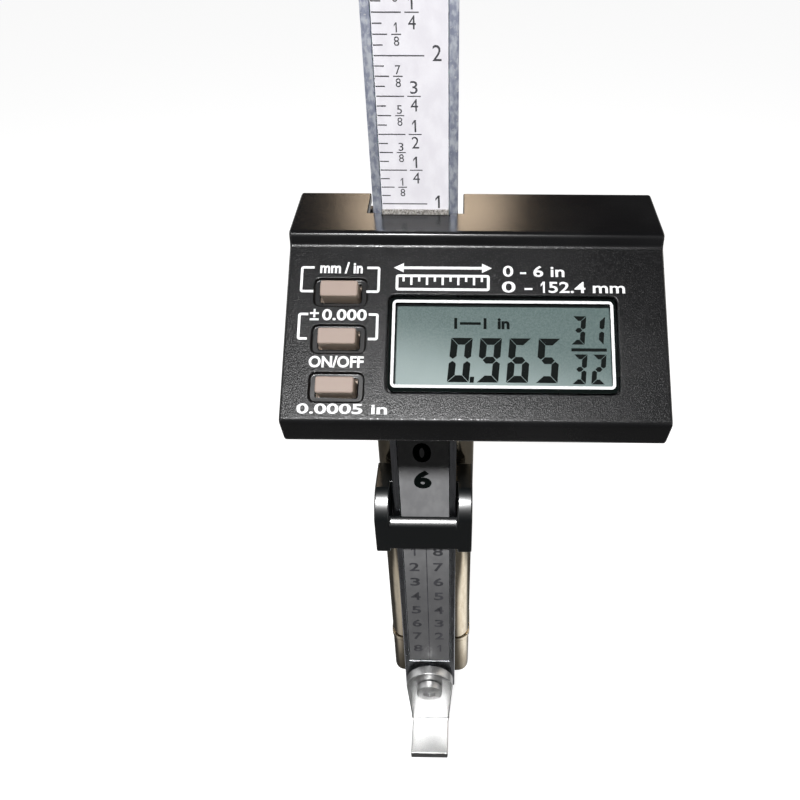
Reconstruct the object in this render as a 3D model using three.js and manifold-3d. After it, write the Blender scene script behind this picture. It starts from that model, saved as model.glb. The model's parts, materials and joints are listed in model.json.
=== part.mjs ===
import * as THREE from 'three';
import { mergeVertices } from 'three/addons/utils/BufferGeometryUtils.js';
import Module from 'manifold-3d';

// Planer digital readout, in millimetres, +Z up along the beam, its front facing -Y.
// The origin is the centre of the base bracket's rear face, which is screwed to the planer.

// Clearances
const seatGap = 0.3;          // between a piece and what carries or guides it
const overrun = 1;            // how far a cutting shape passes the face it cuts
const weldTolerance = 1e-5;

// Beam and its scale
const beamWidth = 16;
const beamThickness = 4;
const beamEdge = 1.6;         // bare steel either side of the groove
const grooveDepth = 0.9;
const rulerLength = 152.4;    // six inches
const rulerZeroHeight = 130.6;
const restReading = 24.51;    // 0.965 inch
const beamAboveRuler = 13;
const stripThickness = 0.4;
const labelThickness = 0.25;
const labelMargin = 2;        // label past its first and last marks
const grooveEndMargin = 14;   // groove's lower end above the beam's

// Head outline, seen from its side
const headWidth = 68.4;
const headLeftOfBeam = 22.8;
const headBehindBeam = 7.25;
const roofRun = 14.66;
const roofFall = 1.7;
const bandRun = 0.35;
const bandFall = 2.37;
const faceLength = 33.1;
const faceTiltDegrees = 39.23;
const noseRun = 1.6;
const noseFall = 5.75;
const headEdgeRound = 0.9;
const headEndRound = 0.5;
const roofWall = 1.8;
const faceWall = 2.4;
const noseWall = 1.8;
const floorWall = 1.6;
const sideWall = 1.8;

// Notch that the beam passes through, and its felt wipers
const notchClearance = 1;     // housing to the beam's side
const feltHeight = 3.3;
const feltRise = 0.6;         // felt above the roof, where the reading is taken
const feltThickness = 0.3;
const feltGap = 0.15;         // felt to the beam's front
const feltMargin = 0.1;       // felt short of the groove's side

// Display window and screen, on the face
const windowLeftMargin = 18.7;
const windowRightMargin = 9.1;
const windowTopMargin = 9.8;
const windowBottomMargin = 5.7;
const windowThickness = 1.2;
const windowDepth = 0.5;      // window's front below the face
const windowCorner = 1.4;
const screenMargin = 0.7;     // screen past the window
const screenThickness = 1.5;
const viewMargin = 0.5;       // window past the opening behind it
const viewTopMargin = 0.8;
const screenFrameWall = 1.2;
const screenFrameLip = 1.9;   // frame deeper than the screen
const contactStripWidth = 1.6;

// Boards
const boardGap = 3.7;         // face wall's inside to the display board
const boardThickness = 1;
const boardSideMargin = 0.6;
const boardTopOffset = 2.6;
const boardBottomMargin = 3.5;
const chipSize = 9;
const chipThickness = 1.2;
const chipRightOfWindow = 3.8;
const chipAboveWindow = 3.6;
const sensorBoardThickness = 1.2;
const flexThickness = 0.3;
const flexWidth = 10;

// Buttons, on the face
const buttonFromLeft = 9.8;
const buttonFromTop = 9.1;
const buttonFromBottom = 6.3;
const buttonWidth = 6.7;
const buttonHeight = 2.95;
const buttonProud = 2;
const buttonTravel = 0.4;
const buttonRound = 0.3;
const buttonCorner = 0.45;
const dishWidth = 9.6;
const dishHeight = 5.3;
const dishDepth = 0.7;
const dishCorner = 1.2;
const flangeMargin = 0.8;
const flangeThickness = 0.6;
const switchSize = 4.5;
const plungerRadius = 1.5;
const plungerHeight = 0.5;

// Slider that runs on the beam
const gibThickness = 1.5;
const sliderCheek = 4;
const sliderFromRoof = 4.2;
const gibEndMargin = 1;
const gibScrewRadius = 1.25;
const gibScrewShare = 0.24;   // of the slider's height, in from each end

// Rear plate and its screws
const rearPlateThickness = 2;
const rearPlateMargin = 1.6;
const rearPlateTopDrop = 3.4;
const rearPlateBottomRise = 2.2;
const rearNotchDepth = 5;
const bossRadius = 3;
const bossLength = 10;
const bossFromSide = 3.8;
const upperBossFromRoof = 6.46;
const lowerBossFromFloor = 10.5;
const bossScrewRadius = 1.3;
const bossScrewHead = 2.6;
const bossScrewHeadDepth = 1.4;
const bossScrewLength = 9;
const carriageHoleRadius = 1.65;
const carriageHoleSpacing = 20;
const carriageHoleFromRight = 19.6;

// Board posts and screws
const postRadius = 1.9;
const boardScrewRadius = 0.8;
const boardScrewHead = 1.5;
const boardScrewHeadHeight = 1.1;
const boardScrewLength = 4.2;
const upperPostLeftOfWindow = 2.9;
const upperPostFromRight = 6;
const upperPostFromTop = 4.6;
const lowerPostFromRight = 4;
const lowerPostFromBottom = 6.1;
const leftPostFromLeft = 3.6;

// Battery and its bay
const cellRadius = 8;
const cellThickness = 3.2;
const cellFromRight = 12;
const cellFromBack = 11.15;
const trayWallThickness = 1.7;
const trayRoof = 0.9;
const contactThickness = 0.3;
const contactWidth = 6;
const contactLength = 12;
const coverLedge = 0.7;       // housing floor left under the cover's tongues
const coverThickness = 0.8;
const coverTongue = 0.6;
const coverLength = 22.5;
const coverRibCount = 4;
const coverRibWidth = 0.8;
const coverRibPitch = 1.6;
const coverRibDepth = 0.35;

// Guide block
const baseOffset = -0.35;     // middle of the block and rail, left of the beam's
const blockWidth = 25.3;
const blockHeight = 18.1;
const blockBehindBeam = 8.7;
const blockNose = 3.5;        // front of the beam to the block's front
const blockTopHeight = 79;
const blockSlotSide = 0.85;
const blockSlotFront = 1;
const blockSlotBack = 1;
const blockBarTop = 11.6;      // above the cheeks' lower edges
const blockBarRise = 1.4;     // bar's lower edge above theirs
const blockBarRound = 1.3;
const blockFrontRound = 6.5;
const blockEdgeRound = 0.8;
const guidePadWidth = 10;
const guidePadHeight = 10;
const guidePadThickness = 1.6;
const blockScrewRadius = 1.9;
const blockScrewHead = 3.4;
const blockScrewHeadHeight = 2.4;
const blockScrewReach = 4.8;
const blockScrewSpacing = 8;

// Rail and base bracket
const railWidth = 26;
const railDepth = 10;
const railWall = 2;
const railRound = 4.5;
const railTopHeight = 96;
const bracketWidth = 24.6;
const bracketHeight = 60;
const bracketThickness = 3;
const bracketCorner = 3;
const shoeTop = -2;           // shoe that the rail stands on
const shoeHeight = 20;
const beadHeight = 1.8;
const beadProud = 0.3;
const bracketBossTop = 16;
const slotWidth = 4;
const slotLength = 9;
const slotMiddle = 23;
const lowerHoleDrop = 4;      // bracket's lower screw hole below the shoe
const railScrewRadius = 1.6;
const railScrewHead = 3;
const railScrewHeadHeight = 2.2;
const railScrewLength = 9;
const railScrewSpacing = 7;

// Stop at the beam's top, and the swing foot at its lower end
const stopScrewFromTop = 4;
const stopScrewRadius = 1.5;
const stopScrewHead = 3;
const stopScrewHeadHeight = 1.8;
const beamBelowPivot = 6;
const pivotHeight = -4;
const pivotRadius = 2;
const pivotHeadRadius = 4;
const pivotHeadHeight = 2.2;
const washerRadius = 4.6;
const washerThickness = 0.6;
const footThickness = 3;
const footWidth = 15;
const footReach = 22.7;
const footToeLength = 12;
const footToeWidth = 12;
const padThickness = 1.5;
const padMargin = 1;
const nutAcross = 7;
const nutThickness = 2.4;

const roundSteps = 3;
const circleSteps = 20;
const hexSides = 6;
const socketHexShare = 0.5;   // of a screw head's radius
const socketDepthShare = 0.55;

// Places that follow from the sizes
const railBackY = -bracketThickness - seatGap;
const railFrontY = railBackY - railDepth;
const blockBackY = railFrontY - seatGap;
const beamBackY = blockBackY - blockBehindBeam + seatGap;
const beamFrontY = beamBackY - beamThickness;
const blockFrontY = beamFrontY - blockNose;
const beamTop = rulerZeroHeight + rulerLength + beamAboveRuler;
const beamBottom = pivotHeight - beamBelowPivot;
const readingHeight = rulerZeroHeight + restReading;
const headLeft = -headLeftOfBeam;
const headRight = headLeft + headWidth;
const headBackY = beamFrontY + headBehindBeam;
const roofSlope = roofFall / roofRun;
const facePitch = THREE.MathUtils.degToRad(faceTiltDegrees);
const headTop = readingHeight - feltRise + roofSlope * headBehindBeam;
const foldY = headBackY - roofRun;
const faceTopY = foldY - bandRun;
const faceTopZ = headTop - roofFall - bandFall;
const noseTopY = faceTopY - faceLength * Math.cos(facePitch);
const noseTopZ = faceTopZ - faceLength * Math.sin(facePitch);
const headFloor = noseTopZ - noseFall;
const floorInside = headFloor + floorWall;

// The face's own layout, counted from the head's left side and down from the face's top
const windowWidth = headWidth - windowLeftMargin - windowRightMargin;
const windowHeight = faceLength - windowTopMargin - windowBottomMargin;
const windowFromLeft = windowLeftMargin + windowWidth / 2;
const windowFromTop = windowTopMargin + windowHeight / 2;
const screenWidth = windowWidth + 2 * screenMargin;
const screenHeight = windowHeight + 2 * screenMargin;
const viewWidth = windowWidth - 2 * viewMargin;
const viewHeight = windowHeight - viewTopMargin - viewMargin;
const viewFromTop = windowTopMargin + viewTopMargin + viewHeight / 2;
const boardLength = faceLength - boardTopOffset - boardBottomMargin;
const buttonPitch = (faceLength - buttonFromTop - buttonFromBottom) / 2;
const postPlaces = [
  { fromLeft: windowLeftMargin - upperPostLeftOfWindow, fromTop: upperPostFromTop },
  { fromLeft: headWidth - upperPostFromRight, fromTop: upperPostFromTop },
  { fromLeft: headWidth - lowerPostFromRight, fromTop: faceLength - lowerPostFromBottom },
  { fromLeft: leftPostFromLeft, fromTop: buttonFromTop + buttonPitch * 3 / 2 },
];

// Materials
function paint(color, roughness, metalness) {
  return new THREE.MeshStandardMaterial({ color, roughness, metalness });
}

const blackPlastic = paint(0x1c1c1f, 0.5, 0);
const glossBlack = paint(0x0c0d0f, 0.15, 0);
const clearPlastic = paint(0xc8d4d0, 0.05, 0);
const screenGlass = paint(0x8fa09a, 0.25, 0);
const whitePlastic = paint(0xd8d8d4, 0.6, 0);
const buttonPlastic = paint(0xc4afa3, 0.55, 0);
const boardGreen = paint(0x2c6b45, 0.5, 0);
const chipBlack = paint(0x202022, 0.4, 0);
const rubberGrey = paint(0x3a3a3c, 0.8, 0);
const feltGrey = paint(0x77736c, 1, 0);
const steel = paint(0xa7abb1, 0.3, 1);
const darkSteel = paint(0x3b3d42, 0.4, 1);
const chrome = paint(0xd9d6cf, 0.1, 1);
const brass = paint(0xc2a35a, 0.35, 1);
const copperFlex = paint(0xb4762f, 0.4, 0);
const labelWhite = paint(0xe6e3ee, 0.35, 0);
const labelGrey = paint(0x77777b, 0.4, 0);
const nylon = paint(0xe9e6dc, 0.6, 0);

const readout = new THREE.Group();

// Solids and geometry
function toSolid(geometry) {
  const bare = geometry.clone();
  bare.deleteAttribute('normal');
  bare.deleteAttribute('uv');
  const merged = mergeVertices(bare, weldTolerance);
  const vertProperties = new Float32Array(merged.attributes.position.array);
  const triVerts = new Uint32Array(merged.index.array);
  return new wasm.Manifold(new wasm.Mesh({ numProp: 3, vertProperties, triVerts }));
}

function toGeometry(solid) {
  const mesh = solid.getMesh();
  const geometry = new THREE.BufferGeometry();
  geometry.setAttribute('position', new THREE.BufferAttribute(new Float32Array(mesh.vertProperties), 3));
  geometry.setIndex(new THREE.BufferAttribute(new Uint32Array(mesh.triVerts), 1));
  geometry.computeVertexNormals();
  return geometry;
}

function combine(body, joined, removed) {
  let solid = toSolid(body);
  for (const piece of joined) {
    solid = solid.add(toSolid(piece));
  }
  for (const piece of removed) {
    solid = solid.subtract(toSolid(piece));
  }
  return toGeometry(solid);
}

const wasm = await Module();
wasm.setup();

function box(x0, x1, y0, y1, z0, z1) {
  const geometry = new THREE.BoxGeometry(x1 - x0, y1 - y0, z1 - z0);
  return geometry.translate((x0 + x1) / 2, (y0 + y1) / 2, (z0 + z1) / 2);
}

// A cylinder from one end to the other along an axis, about a point.
function rod(axis, radius, from, to, centre, steps = circleSteps) {
  const geometry = new THREE.CylinderGeometry(radius, radius, to - from, steps);
  const middle = (from + to) / 2;
  if (axis === 'x') {
    return geometry.rotateZ(-Math.PI / 2).translate(middle, centre[0], centre[1]);
  }
  if (axis === 'y') {
    return geometry.translate(centre[0], middle, centre[1]);
  }
  return geometry.rotateX(Math.PI / 2).translate(centre[0], centre[1], middle);
}

// An outline with rounded corners: each point is [across, up, radius].
function roundedShape(points) {
  const shape = new THREE.Shape();
  points.forEach(([across, up, radius = 0], index) => {
    const corner = new THREE.Vector2(across, up);
    const before = new THREE.Vector2(...points[(index + points.length - 1) % points.length]);
    const after = new THREE.Vector2(...points[(index + 1) % points.length]);
    const start = corner.clone().add(before.sub(corner).setLength(radius));
    const end = corner.clone().add(after.sub(corner).setLength(radius));
    if (index === 0) {
      shape.moveTo(start.x, start.y);
    } else {
      shape.lineTo(start.x, start.y);
    }
    if (radius > 0) {
      shape.quadraticCurveTo(corner.x, corner.y, end.x, end.y);
    }
  });
  shape.closePath();
  return shape;
}

function roundedRectangle(width, height, radius, centreX = 0, centreY = 0) {
  const [x, y] = [width / 2, height / 2];
  const corners = [[-x, -y], [x, -y], [x, y], [-x, y]];
  return roundedShape(corners.map(([across, up]) => [across + centreX, up + centreY, radius]));
}

// Extrudes a shape; a bevel rounds both end edges without growing the outline.
function extrude(shape, depth, bevel = 0, steps = roundSteps) {
  const geometry = new THREE.ExtrudeGeometry(shape, {
    depth: depth - 2 * bevel,
    bevelEnabled: bevel > 0,
    bevelThickness: bevel,
    bevelSize: bevel,
    bevelOffset: -bevel,
    bevelSegments: roundSteps,
    curveSegments: steps,
  });
  return geometry.translate(0, 0, bevel);
}

// A side outline, in Y and Z, carried along X.
function alongX(shape, x0, x1, bevel = 0) {
  const turn = new THREE.Matrix4().makeBasis(
    new THREE.Vector3(0, 1, 0),
    new THREE.Vector3(0, 0, 1),
    new THREE.Vector3(1, 0, 0),
  );
  return extrude(shape, x1 - x0, bevel).applyMatrix4(turn).translate(x0, 0, 0);
}

// A front outline, in X and Z, carried along Y.
function alongY(shape, y0, y1, bevel = 0) {
  return extrude(shape, y1 - y0, bevel).rotateX(Math.PI / 2).translate(0, y1, 0);
}

// A plan outline, in X and Y, carried along Z.
function alongZ(shape, z0, z1, bevel = 0) {
  return extrude(shape, z1 - z0, bevel).translate(0, 0, z0);
}

// A turned piece about Y: each point is [radius, distance along Y].
function turnedAboutY(points, x, y, z) {
  const profile = points.map(([radius, along]) => new THREE.Vector2(radius, along));
  return new THREE.LatheGeometry(profile, circleSteps).translate(x, y, z);
}

function socketHead(radius, headHeight, shankRadius, length) {
  const socket = radius * socketHexShare;
  const depth = headHeight * socketDepthShare;
  return [
    [0, length],
    [0, -headHeight + depth],
    [socket, -headHeight + depth],
    [socket, -headHeight],
    [radius, -headHeight],
    [radius, 0],
    [shankRadius, 0],
    [shankRadius, length],
    [0, length],
  ];
}

function addPiece(parent, name, geometry, material) {
  const piece = new THREE.Mesh(geometry, material);
  piece.name = name;
  parent.add(piece);
  return piece;
}

// The face has its own frame: X from the head's left side, Y up the face from its top edge
// and Z out of it, so places on it are counted down from the top and in from the front.
const faceFrame = new THREE.Group();
faceFrame.position.set(headLeft, faceTopY, faceTopZ);
faceFrame.rotation.x = facePitch;
faceFrame.updateMatrix();
readout.add(faceFrame);

function onFace(shape, fromDepth, toDepth, bevel = 0) {
  return extrude(shape, toDepth - fromDepth, bevel).translate(0, 0, -toDepth);
}

function inWorld(geometry) {
  return geometry.clone().applyMatrix4(faceFrame.matrix);
}

const buttons = ['units', 'zero', 'power'].map((name, index) => ({
  name,
  fromTop: buttonFromTop + index * buttonPitch,
}));
const boardFront = faceWall + boardGap;
const boardBack = boardFront + boardThickness;
const flangeFront = faceWall + seatGap;
const flangeBack = flangeFront + flangeThickness;
const screenFront = faceWall + seatGap;
const screenBack = screenFront + screenThickness;

// Offsets each side of a closed outline inwards by its own wall.
function insetOutline(points, walls) {
  const sides = points.map((point, index) => {
    const start = new THREE.Vector2(...point);
    const end = new THREE.Vector2(...points[(index + 1) % points.length]);
    const along = end.sub(start).normalize();
    const inwards = new THREE.Vector2(-along.y, along.x);
    return { start: start.addScaledVector(inwards, walls[index]), along };
  });
  return sides.map((side, index) => {
    const last = sides[(index + sides.length - 1) % sides.length];
    const between = side.start.clone().sub(last.start);
    const reach = between.cross(side.along) / last.along.cross(side.along);
    const corner = last.start.clone().addScaledVector(last.along, reach);
    return [corner.x, corner.y];
  });
}

const beamHalf = beamWidth / 2;
const notchHalf = beamHalf + notchClearance;
const notchFrontY = beamFrontY - seatGap;
const feltHalf = beamHalf - beamEdge - feltMargin;
const feltBackY = beamFrontY - feltGap;
const feltFrontY = feltBackY - feltThickness;
const roofAtBeam = readingHeight - feltRise;
const feltTop = readingHeight;
const feltBottom = feltTop - feltHeight;

const cellX = headRight - cellFromRight;
const cellY = headBackY - cellFromBack;
const coverTongueTop = headFloor + coverLedge + seatGap + coverThickness;
const cellBottom = coverTongueTop + seatGap;
const cellTop = cellBottom + cellThickness;
const trayBoreRadius = cellRadius + seatGap;
const trayHalf = trayBoreRadius + trayWallThickness;
const trayCeiling = cellTop + contactThickness + 2 * seatGap;
const trayTop = trayCeiling + trayRoof;
const coverHalf = trayHalf - trayWallThickness - seatGap;
const coverTongueHalf = coverHalf + coverTongue;
const coverLeft = headRight - coverLength;

const bossPlaces = [headLeft + bossFromSide, headRight - bossFromSide].flatMap((x) => [
  { x, z: headTop - upperBossFromRoof },
  { x, z: headFloor + lowerBossFromFloor },
]);

const sliderTop = roofAtBeam - sliderFromRoof;
const sliderBottom = trayTop + seatGap;
const sliderHeight = sliderTop - sliderBottom;
const sliderBackY = headBackY - seatGap;
const sliderInner = beamHalf + 2 * seatGap + gibThickness;
const sliderOuter = sliderInner + sliderCheek;
const gibScrewInset = sliderHeight * gibScrewShare;
const gibScrewHeights = [sliderTop - gibScrewInset, sliderBottom + gibScrewInset];
const gibScrewY = (beamFrontY + beamBackY) / 2;

function addHousing() {
  const outline = [
    [headBackY, headTop],
    [foldY, headTop - roofFall],
    [faceTopY, faceTopZ],
    [noseTopY, noseTopZ],
    [noseTopY + noseRun, headFloor],
    [headBackY, headFloor],
  ];
  const walls = [roofWall, faceWall, faceWall, noseWall, floorWall, -overrun];
  const rounds = [0, headEdgeRound, headEdgeRound / 2, headEdgeRound, headEdgeRound, 0];
  const outer = alongX(roundedShape(outline.map((point, index) => [...point, rounds[index]])),
    headLeft, headRight, headEndRound);
  const cavity = alongX(roundedShape(insetOutline(outline, walls)),
    headLeft + sideWall, headRight - sideWall);
  const bosses = bossPlaces.map(({ x, z }) => rod('y', bossRadius,
    headBackY - bossLength, headBackY, [x, z]));
  const posts = postPlaces.map(({ fromLeft, fromTop }) => inWorld(
    rod('z', postRadius, -boardFront + seatGap, -faceWall / 2, [fromLeft, -fromTop])));
  const bossHoles = bossPlaces.map(({ x, z }) => rod('y', bossScrewRadius + seatGap,
    headBackY - bossScrewLength, headBackY + overrun, [x, z]));
  const postHoles = postPlaces.map(({ fromLeft, fromTop }) => inWorld(
    rod('z', boardScrewRadius + seatGap, -boardFront - overrun, -faceWall, [fromLeft, -fromTop])));
  const notch = box(-notchHalf, notchHalf, notchFrontY, headBackY + overrun,
    headFloor - overrun, headTop + overrun);
  const pocketHalf = feltHalf + seatGap;
  const feltPocket = box(-pocketHalf, pocketHalf, feltFrontY - seatGap, notchFrontY + overrun,
    feltBottom - seatGap, headTop + overrun);
  const lowerPocket = box(-pocketHalf, pocketHalf, feltFrontY - seatGap, notchFrontY + overrun,
    headFloor - overrun, headFloor + feltHeight);
  const recess = inWorld(onFace(roundedRectangle(windowWidth + 2 * seatGap, windowHeight + 2 * seatGap,
    windowCorner, windowFromLeft, -windowFromTop), -overrun, windowDepth + windowThickness + seatGap));
  const view = inWorld(onFace(roundedRectangle(viewWidth, viewHeight, windowCorner / 2,
    windowFromLeft, -viewFromTop), -overrun, faceWall + overrun));
  const dishes = buttons.map(({ fromTop }) => inWorld(onFace(
    roundedRectangle(dishWidth, dishHeight, dishCorner, buttonFromLeft, -fromTop), -overrun, dishDepth)));
  const buttonHoles = buttons.map(({ fromTop }) => inWorld(onFace(
    roundedRectangle(buttonWidth + 2 * seatGap, buttonHeight + 2 * seatGap, buttonCorner,
      buttonFromLeft, -fromTop), -overrun, faceWall + overrun)));
  const coverOpening = box(coverLeft - seatGap, headRight + overrun,
    cellY - coverHalf - seatGap, cellY + coverHalf + seatGap, headFloor - overrun, floorInside + overrun);
  const tongueGroove = box(coverLeft - seatGap, headRight + overrun,
    cellY - coverTongueHalf - seatGap, cellY + coverTongueHalf + seatGap,
    headFloor + coverLedge, coverTongueTop + seatGap);
  const gibHoles = gibScrewHeights.map((z) => rod('x', gibScrewRadius + seatGap,
    headLeft - overrun, headLeft + sideWall + overrun, [gibScrewY, z]));
  const shell = combine(outer, [], [cavity]);
  const geometry = combine(shell, [...bosses, ...posts], [...bossHoles, ...postHoles, notch, feltPocket,
    lowerPocket, recess, view, ...dishes, ...buttonHoles, coverOpening, tongueGroove, ...gibHoles]);
  addPiece(readout, 'front_housing', geometry, blackPlastic);
}

function addRearPlate() {
  const top = headTop - rearPlateTopDrop;
  const bottom = headFloor + rearPlateBottomRise;
  const front = headBackY;
  const back = headBackY + rearPlateThickness;
  const width = headWidth - 2 * rearPlateMargin;
  const shape = roundedRectangle(width, top - bottom, rearPlateMargin,
    (headLeft + headRight) / 2, (top + bottom) / 2);
  const notch = box(-notchHalf, notchHalf, front - overrun, back + overrun,
    top - rearNotchDepth, top + overrun);
  const holes = bossPlaces.map(({ x, z }) => countersink(x, z, back, seatGap));
  const carriageX = headRight - carriageHoleFromRight;
  const carriageHoles = [-1, 1].map((side) => rod('y', carriageHoleRadius, front - overrun, back + overrun,
    [carriageX + side * carriageHoleSpacing / 2, (top + bottom) / 2]));
  const plate = combine(alongY(shape, front, back), [], [notch, ...holes, ...carriageHoles]);
  addPiece(readout, 'rear_plate', plate, darkSteel);
  bossPlaces.forEach(({ x, z }, index) => {
    addPiece(readout, `rear_plate_screw_${index + 1}`, countersink(x, z, back, 0), steel);
  });
}

// A countersunk screw whose head is flush with a face at back; the same form, grown, is its hole.
function countersink(x, z, back, growth) {
  const shank = bossScrewRadius + growth;
  const reach = growth > 0 ? rearPlateThickness + overrun : bossScrewLength - seatGap;
  return turnedAboutY([
    [0, -reach],
    [shank, -reach],
    [shank, -bossScrewHeadDepth - growth],
    [bossScrewHead + growth, 0],
    [bossScrewHead + growth, growth],
    [0, growth],
  ].filter(([radius, along], index, all) => index === 0 || radius !== all[index - 1][0]
    || along !== all[index - 1][1]), x, back, z);
}

function addDisplay() {
  const window = onFace(roundedRectangle(windowWidth, windowHeight, windowCorner,
    windowFromLeft, -windowFromTop), windowDepth, windowDepth + windowThickness);
  addPiece(faceFrame, 'display_window', window, clearPlastic);

  const screen = onFace(roundedRectangle(screenWidth, screenHeight, 0, windowFromLeft, -windowFromTop),
    screenFront, screenBack);
  addPiece(faceFrame, 'lcd_panel', screen, screenGlass);

  const frameWidth = screenWidth + 2 * (seatGap + screenFrameWall);
  const frameHeight = screenHeight + 2 * (seatGap + screenFrameWall);
  const outer = onFace(roundedRectangle(frameWidth, frameHeight, screenFrameWall / 2,
    windowFromLeft, -windowFromTop), screenFront, screenBack + screenFrameLip);
  const inner = onFace(roundedRectangle(screenWidth + 2 * seatGap, screenHeight + 2 * seatGap, 0,
    windowFromLeft, -windowFromTop), screenFront - overrun, screenBack + screenFrameLip + overrun);
  addPiece(faceFrame, 'lcd_frame', combine(outer, [], [inner]), whitePlastic);

  const stripOffset = screenHeight / 2 - contactStripWidth;
  const strips = { contact_strip_upper: stripOffset, contact_strip_lower: -stripOffset };
  for (const [name, offset] of Object.entries(strips)) {
    const strip = onFace(roundedRectangle(screenWidth - 2 * contactStripWidth, contactStripWidth, 0,
      windowFromLeft, -windowFromTop + offset), screenBack + seatGap, boardFront - seatGap);
    addPiece(faceFrame, name, strip, rubberGrey);
  }
}

function addDisplayBoard() {
  const left = sideWall + boardSideMargin;
  const right = headWidth - left;
  const board = onFace(roundedRectangle(right - left, boardLength, 0, (left + right) / 2,
    -boardTopOffset - boardLength / 2), boardFront, boardBack);
  const holes = postPlaces.map(({ fromLeft, fromTop }) => rod('z', boardScrewRadius + seatGap,
    -boardBack - overrun, -boardFront + overrun, [fromLeft, -fromTop]));
  addPiece(faceFrame, 'display_board', combine(board, [], holes), boardGreen);

  const chip = onFace(roundedRectangle(chipSize, chipSize, 0,
    windowFromLeft + chipRightOfWindow, -windowFromTop + chipAboveWindow),
    boardBack + seatGap, boardBack + seatGap + chipThickness);
  addPiece(faceFrame, 'controller_chip', chip, chipBlack);

  postPlaces.forEach(({ fromLeft, fromTop }, index) => {
    const headFront = -boardBack - seatGap;
    const shank = rod('z', boardScrewRadius, headFront - boardScrewHeadHeight / 2,
      headFront + boardScrewLength, [fromLeft, -fromTop]);
    const head = rod('z', boardScrewHead, headFront - boardScrewHeadHeight, headFront, [fromLeft, -fromTop]);
    addPiece(faceFrame, `board_screw_${index + 1}`, combine(head, [shank], []), steel);
  });
}

function addButtons() {
  for (const { name, fromTop } of buttons) {
    const cap = onFace(roundedRectangle(buttonWidth, buttonHeight, buttonCorner, buttonFromLeft, -fromTop),
      -buttonProud, flangeBack, buttonRound);
    const flange = onFace(roundedRectangle(buttonWidth + 2 * flangeMargin, buttonHeight + 2 * flangeMargin,
      flangeMargin, buttonFromLeft, -fromTop), flangeFront, flangeBack);
    addPiece(faceFrame, `${name}_button`, combine(cap, [flange], []), buttonPlastic);

    const plungerTop = flangeBack + buttonTravel + seatGap / 2;
    const bodyTop = plungerTop + plungerHeight;
    const body = onFace(roundedRectangle(switchSize, switchSize, 0, buttonFromLeft, -fromTop),
      bodyTop, boardFront - seatGap);
    const plunger = rod('z', plungerRadius, -bodyTop - plungerHeight, -plungerTop,
      [buttonFromLeft, -fromTop]);
    addPiece(faceFrame, `${name}_switch`, combine(body, [plunger], []), chipBlack);
  }
}

function addSlider() {
  const outline = roundedShape([
    [-sliderOuter, beamFrontY],
    [-sliderInner, beamFrontY],
    [-sliderInner, beamBackY + seatGap],
    [sliderInner, beamBackY + seatGap],
    [sliderInner, beamFrontY],
    [sliderOuter, beamFrontY],
    [sliderOuter, sliderBackY],
    [-sliderOuter, sliderBackY],
  ]);
  const screwHoles = gibScrewHeights.map((z) => rod('x', gibScrewRadius + seatGap,
    -sliderOuter - overrun, -sliderInner + overrun, [gibScrewY, z]));
  const frame = combine(alongZ(outline, sliderBottom, sliderTop), [], screwHoles);
  addPiece(readout, 'slider_frame', frame, darkSteel);

  for (const [name, side] of [['gib_left', -1], ['gib_right', 1]]) {
    const inner = side * (beamHalf + seatGap);
    const outer = side * (beamHalf + seatGap + gibThickness);
    const gib = box(Math.min(inner, outer), Math.max(inner, outer), beamFrontY + seatGap, beamBackY,
      sliderBottom + gibEndMargin, sliderTop - gibEndMargin);
    addPiece(readout, name, gib, brass);
  }
  gibScrewHeights.forEach((z, index) => {
    const screw = rod('x', gibScrewRadius, -sliderOuter, -sliderInner, [gibScrewY, z]);
    addPiece(readout, `gib_screw_${index + 1}`, screw, darkSteel);
  });

  const board = box(-sliderOuter, sliderOuter, notchFrontY - sensorBoardThickness, notchFrontY,
    sliderBottom, sliderTop - seatGap);
  addPiece(readout, 'sensor_board', board, boardGreen);

  addPiece(readout, 'felt_wiper_top', box(-feltHalf, feltHalf, feltFrontY, feltBackY,
    feltBottom, feltTop), feltGrey);
  addPiece(readout, 'felt_wiper_bottom', box(-feltHalf, feltHalf, feltFrontY, feltBackY,
    headFloor, headFloor + feltHeight - seatGap), feltGrey);
}

// The flexible lead leaves the sensor board, turns under and lies up along the display board's back.
function addFlexCable() {
  const onBoard = (fromTop) => {
    const place = new THREE.Vector3(0, -fromTop, -boardBack - seatGap - flexThickness / 2);
    place.applyMatrix4(faceFrame.matrix);
    return [place.y, place.z];
  };
  const startY = notchFrontY - sensorBoardThickness - seatGap - flexThickness / 2;
  const boardMiddle = boardTopOffset + boardLength / 2;
  const [lowY, lowZ] = onBoard(boardMiddle + flexWidth / 4);
  const bendFall = flexWidth / 4;
  const path = new THREE.CatmullRomCurve3([
    [startY, sliderTop - flexWidth / 2],
    [startY, sliderTop - flexWidth],
    [startY - flexThickness * 2, lowZ],
    [(startY + lowY) / 2, lowZ - bendFall],
    [lowY + flexThickness * 2, lowZ - flexThickness * 2],
    onBoard(boardMiddle),
    onBoard(boardMiddle - flexWidth / 4),
  ].map(([y, z]) => new THREE.Vector3(y, z, 0)));
  const points = path.getPoints(circleSteps);
  const sides = [1, -1].map((side) => points.map((point, index) => {
    const along = path.getTangent(index / circleSteps);
    return [point.x - along.y * side * flexThickness / 2, point.y + along.x * side * flexThickness / 2];
  }));
  const shape = roundedShape([...sides[1], ...sides[0].reverse()]);
  addPiece(readout, 'flex_cable', alongX(shape, -flexWidth / 2, flexWidth / 2), copperFlex);
}

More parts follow.
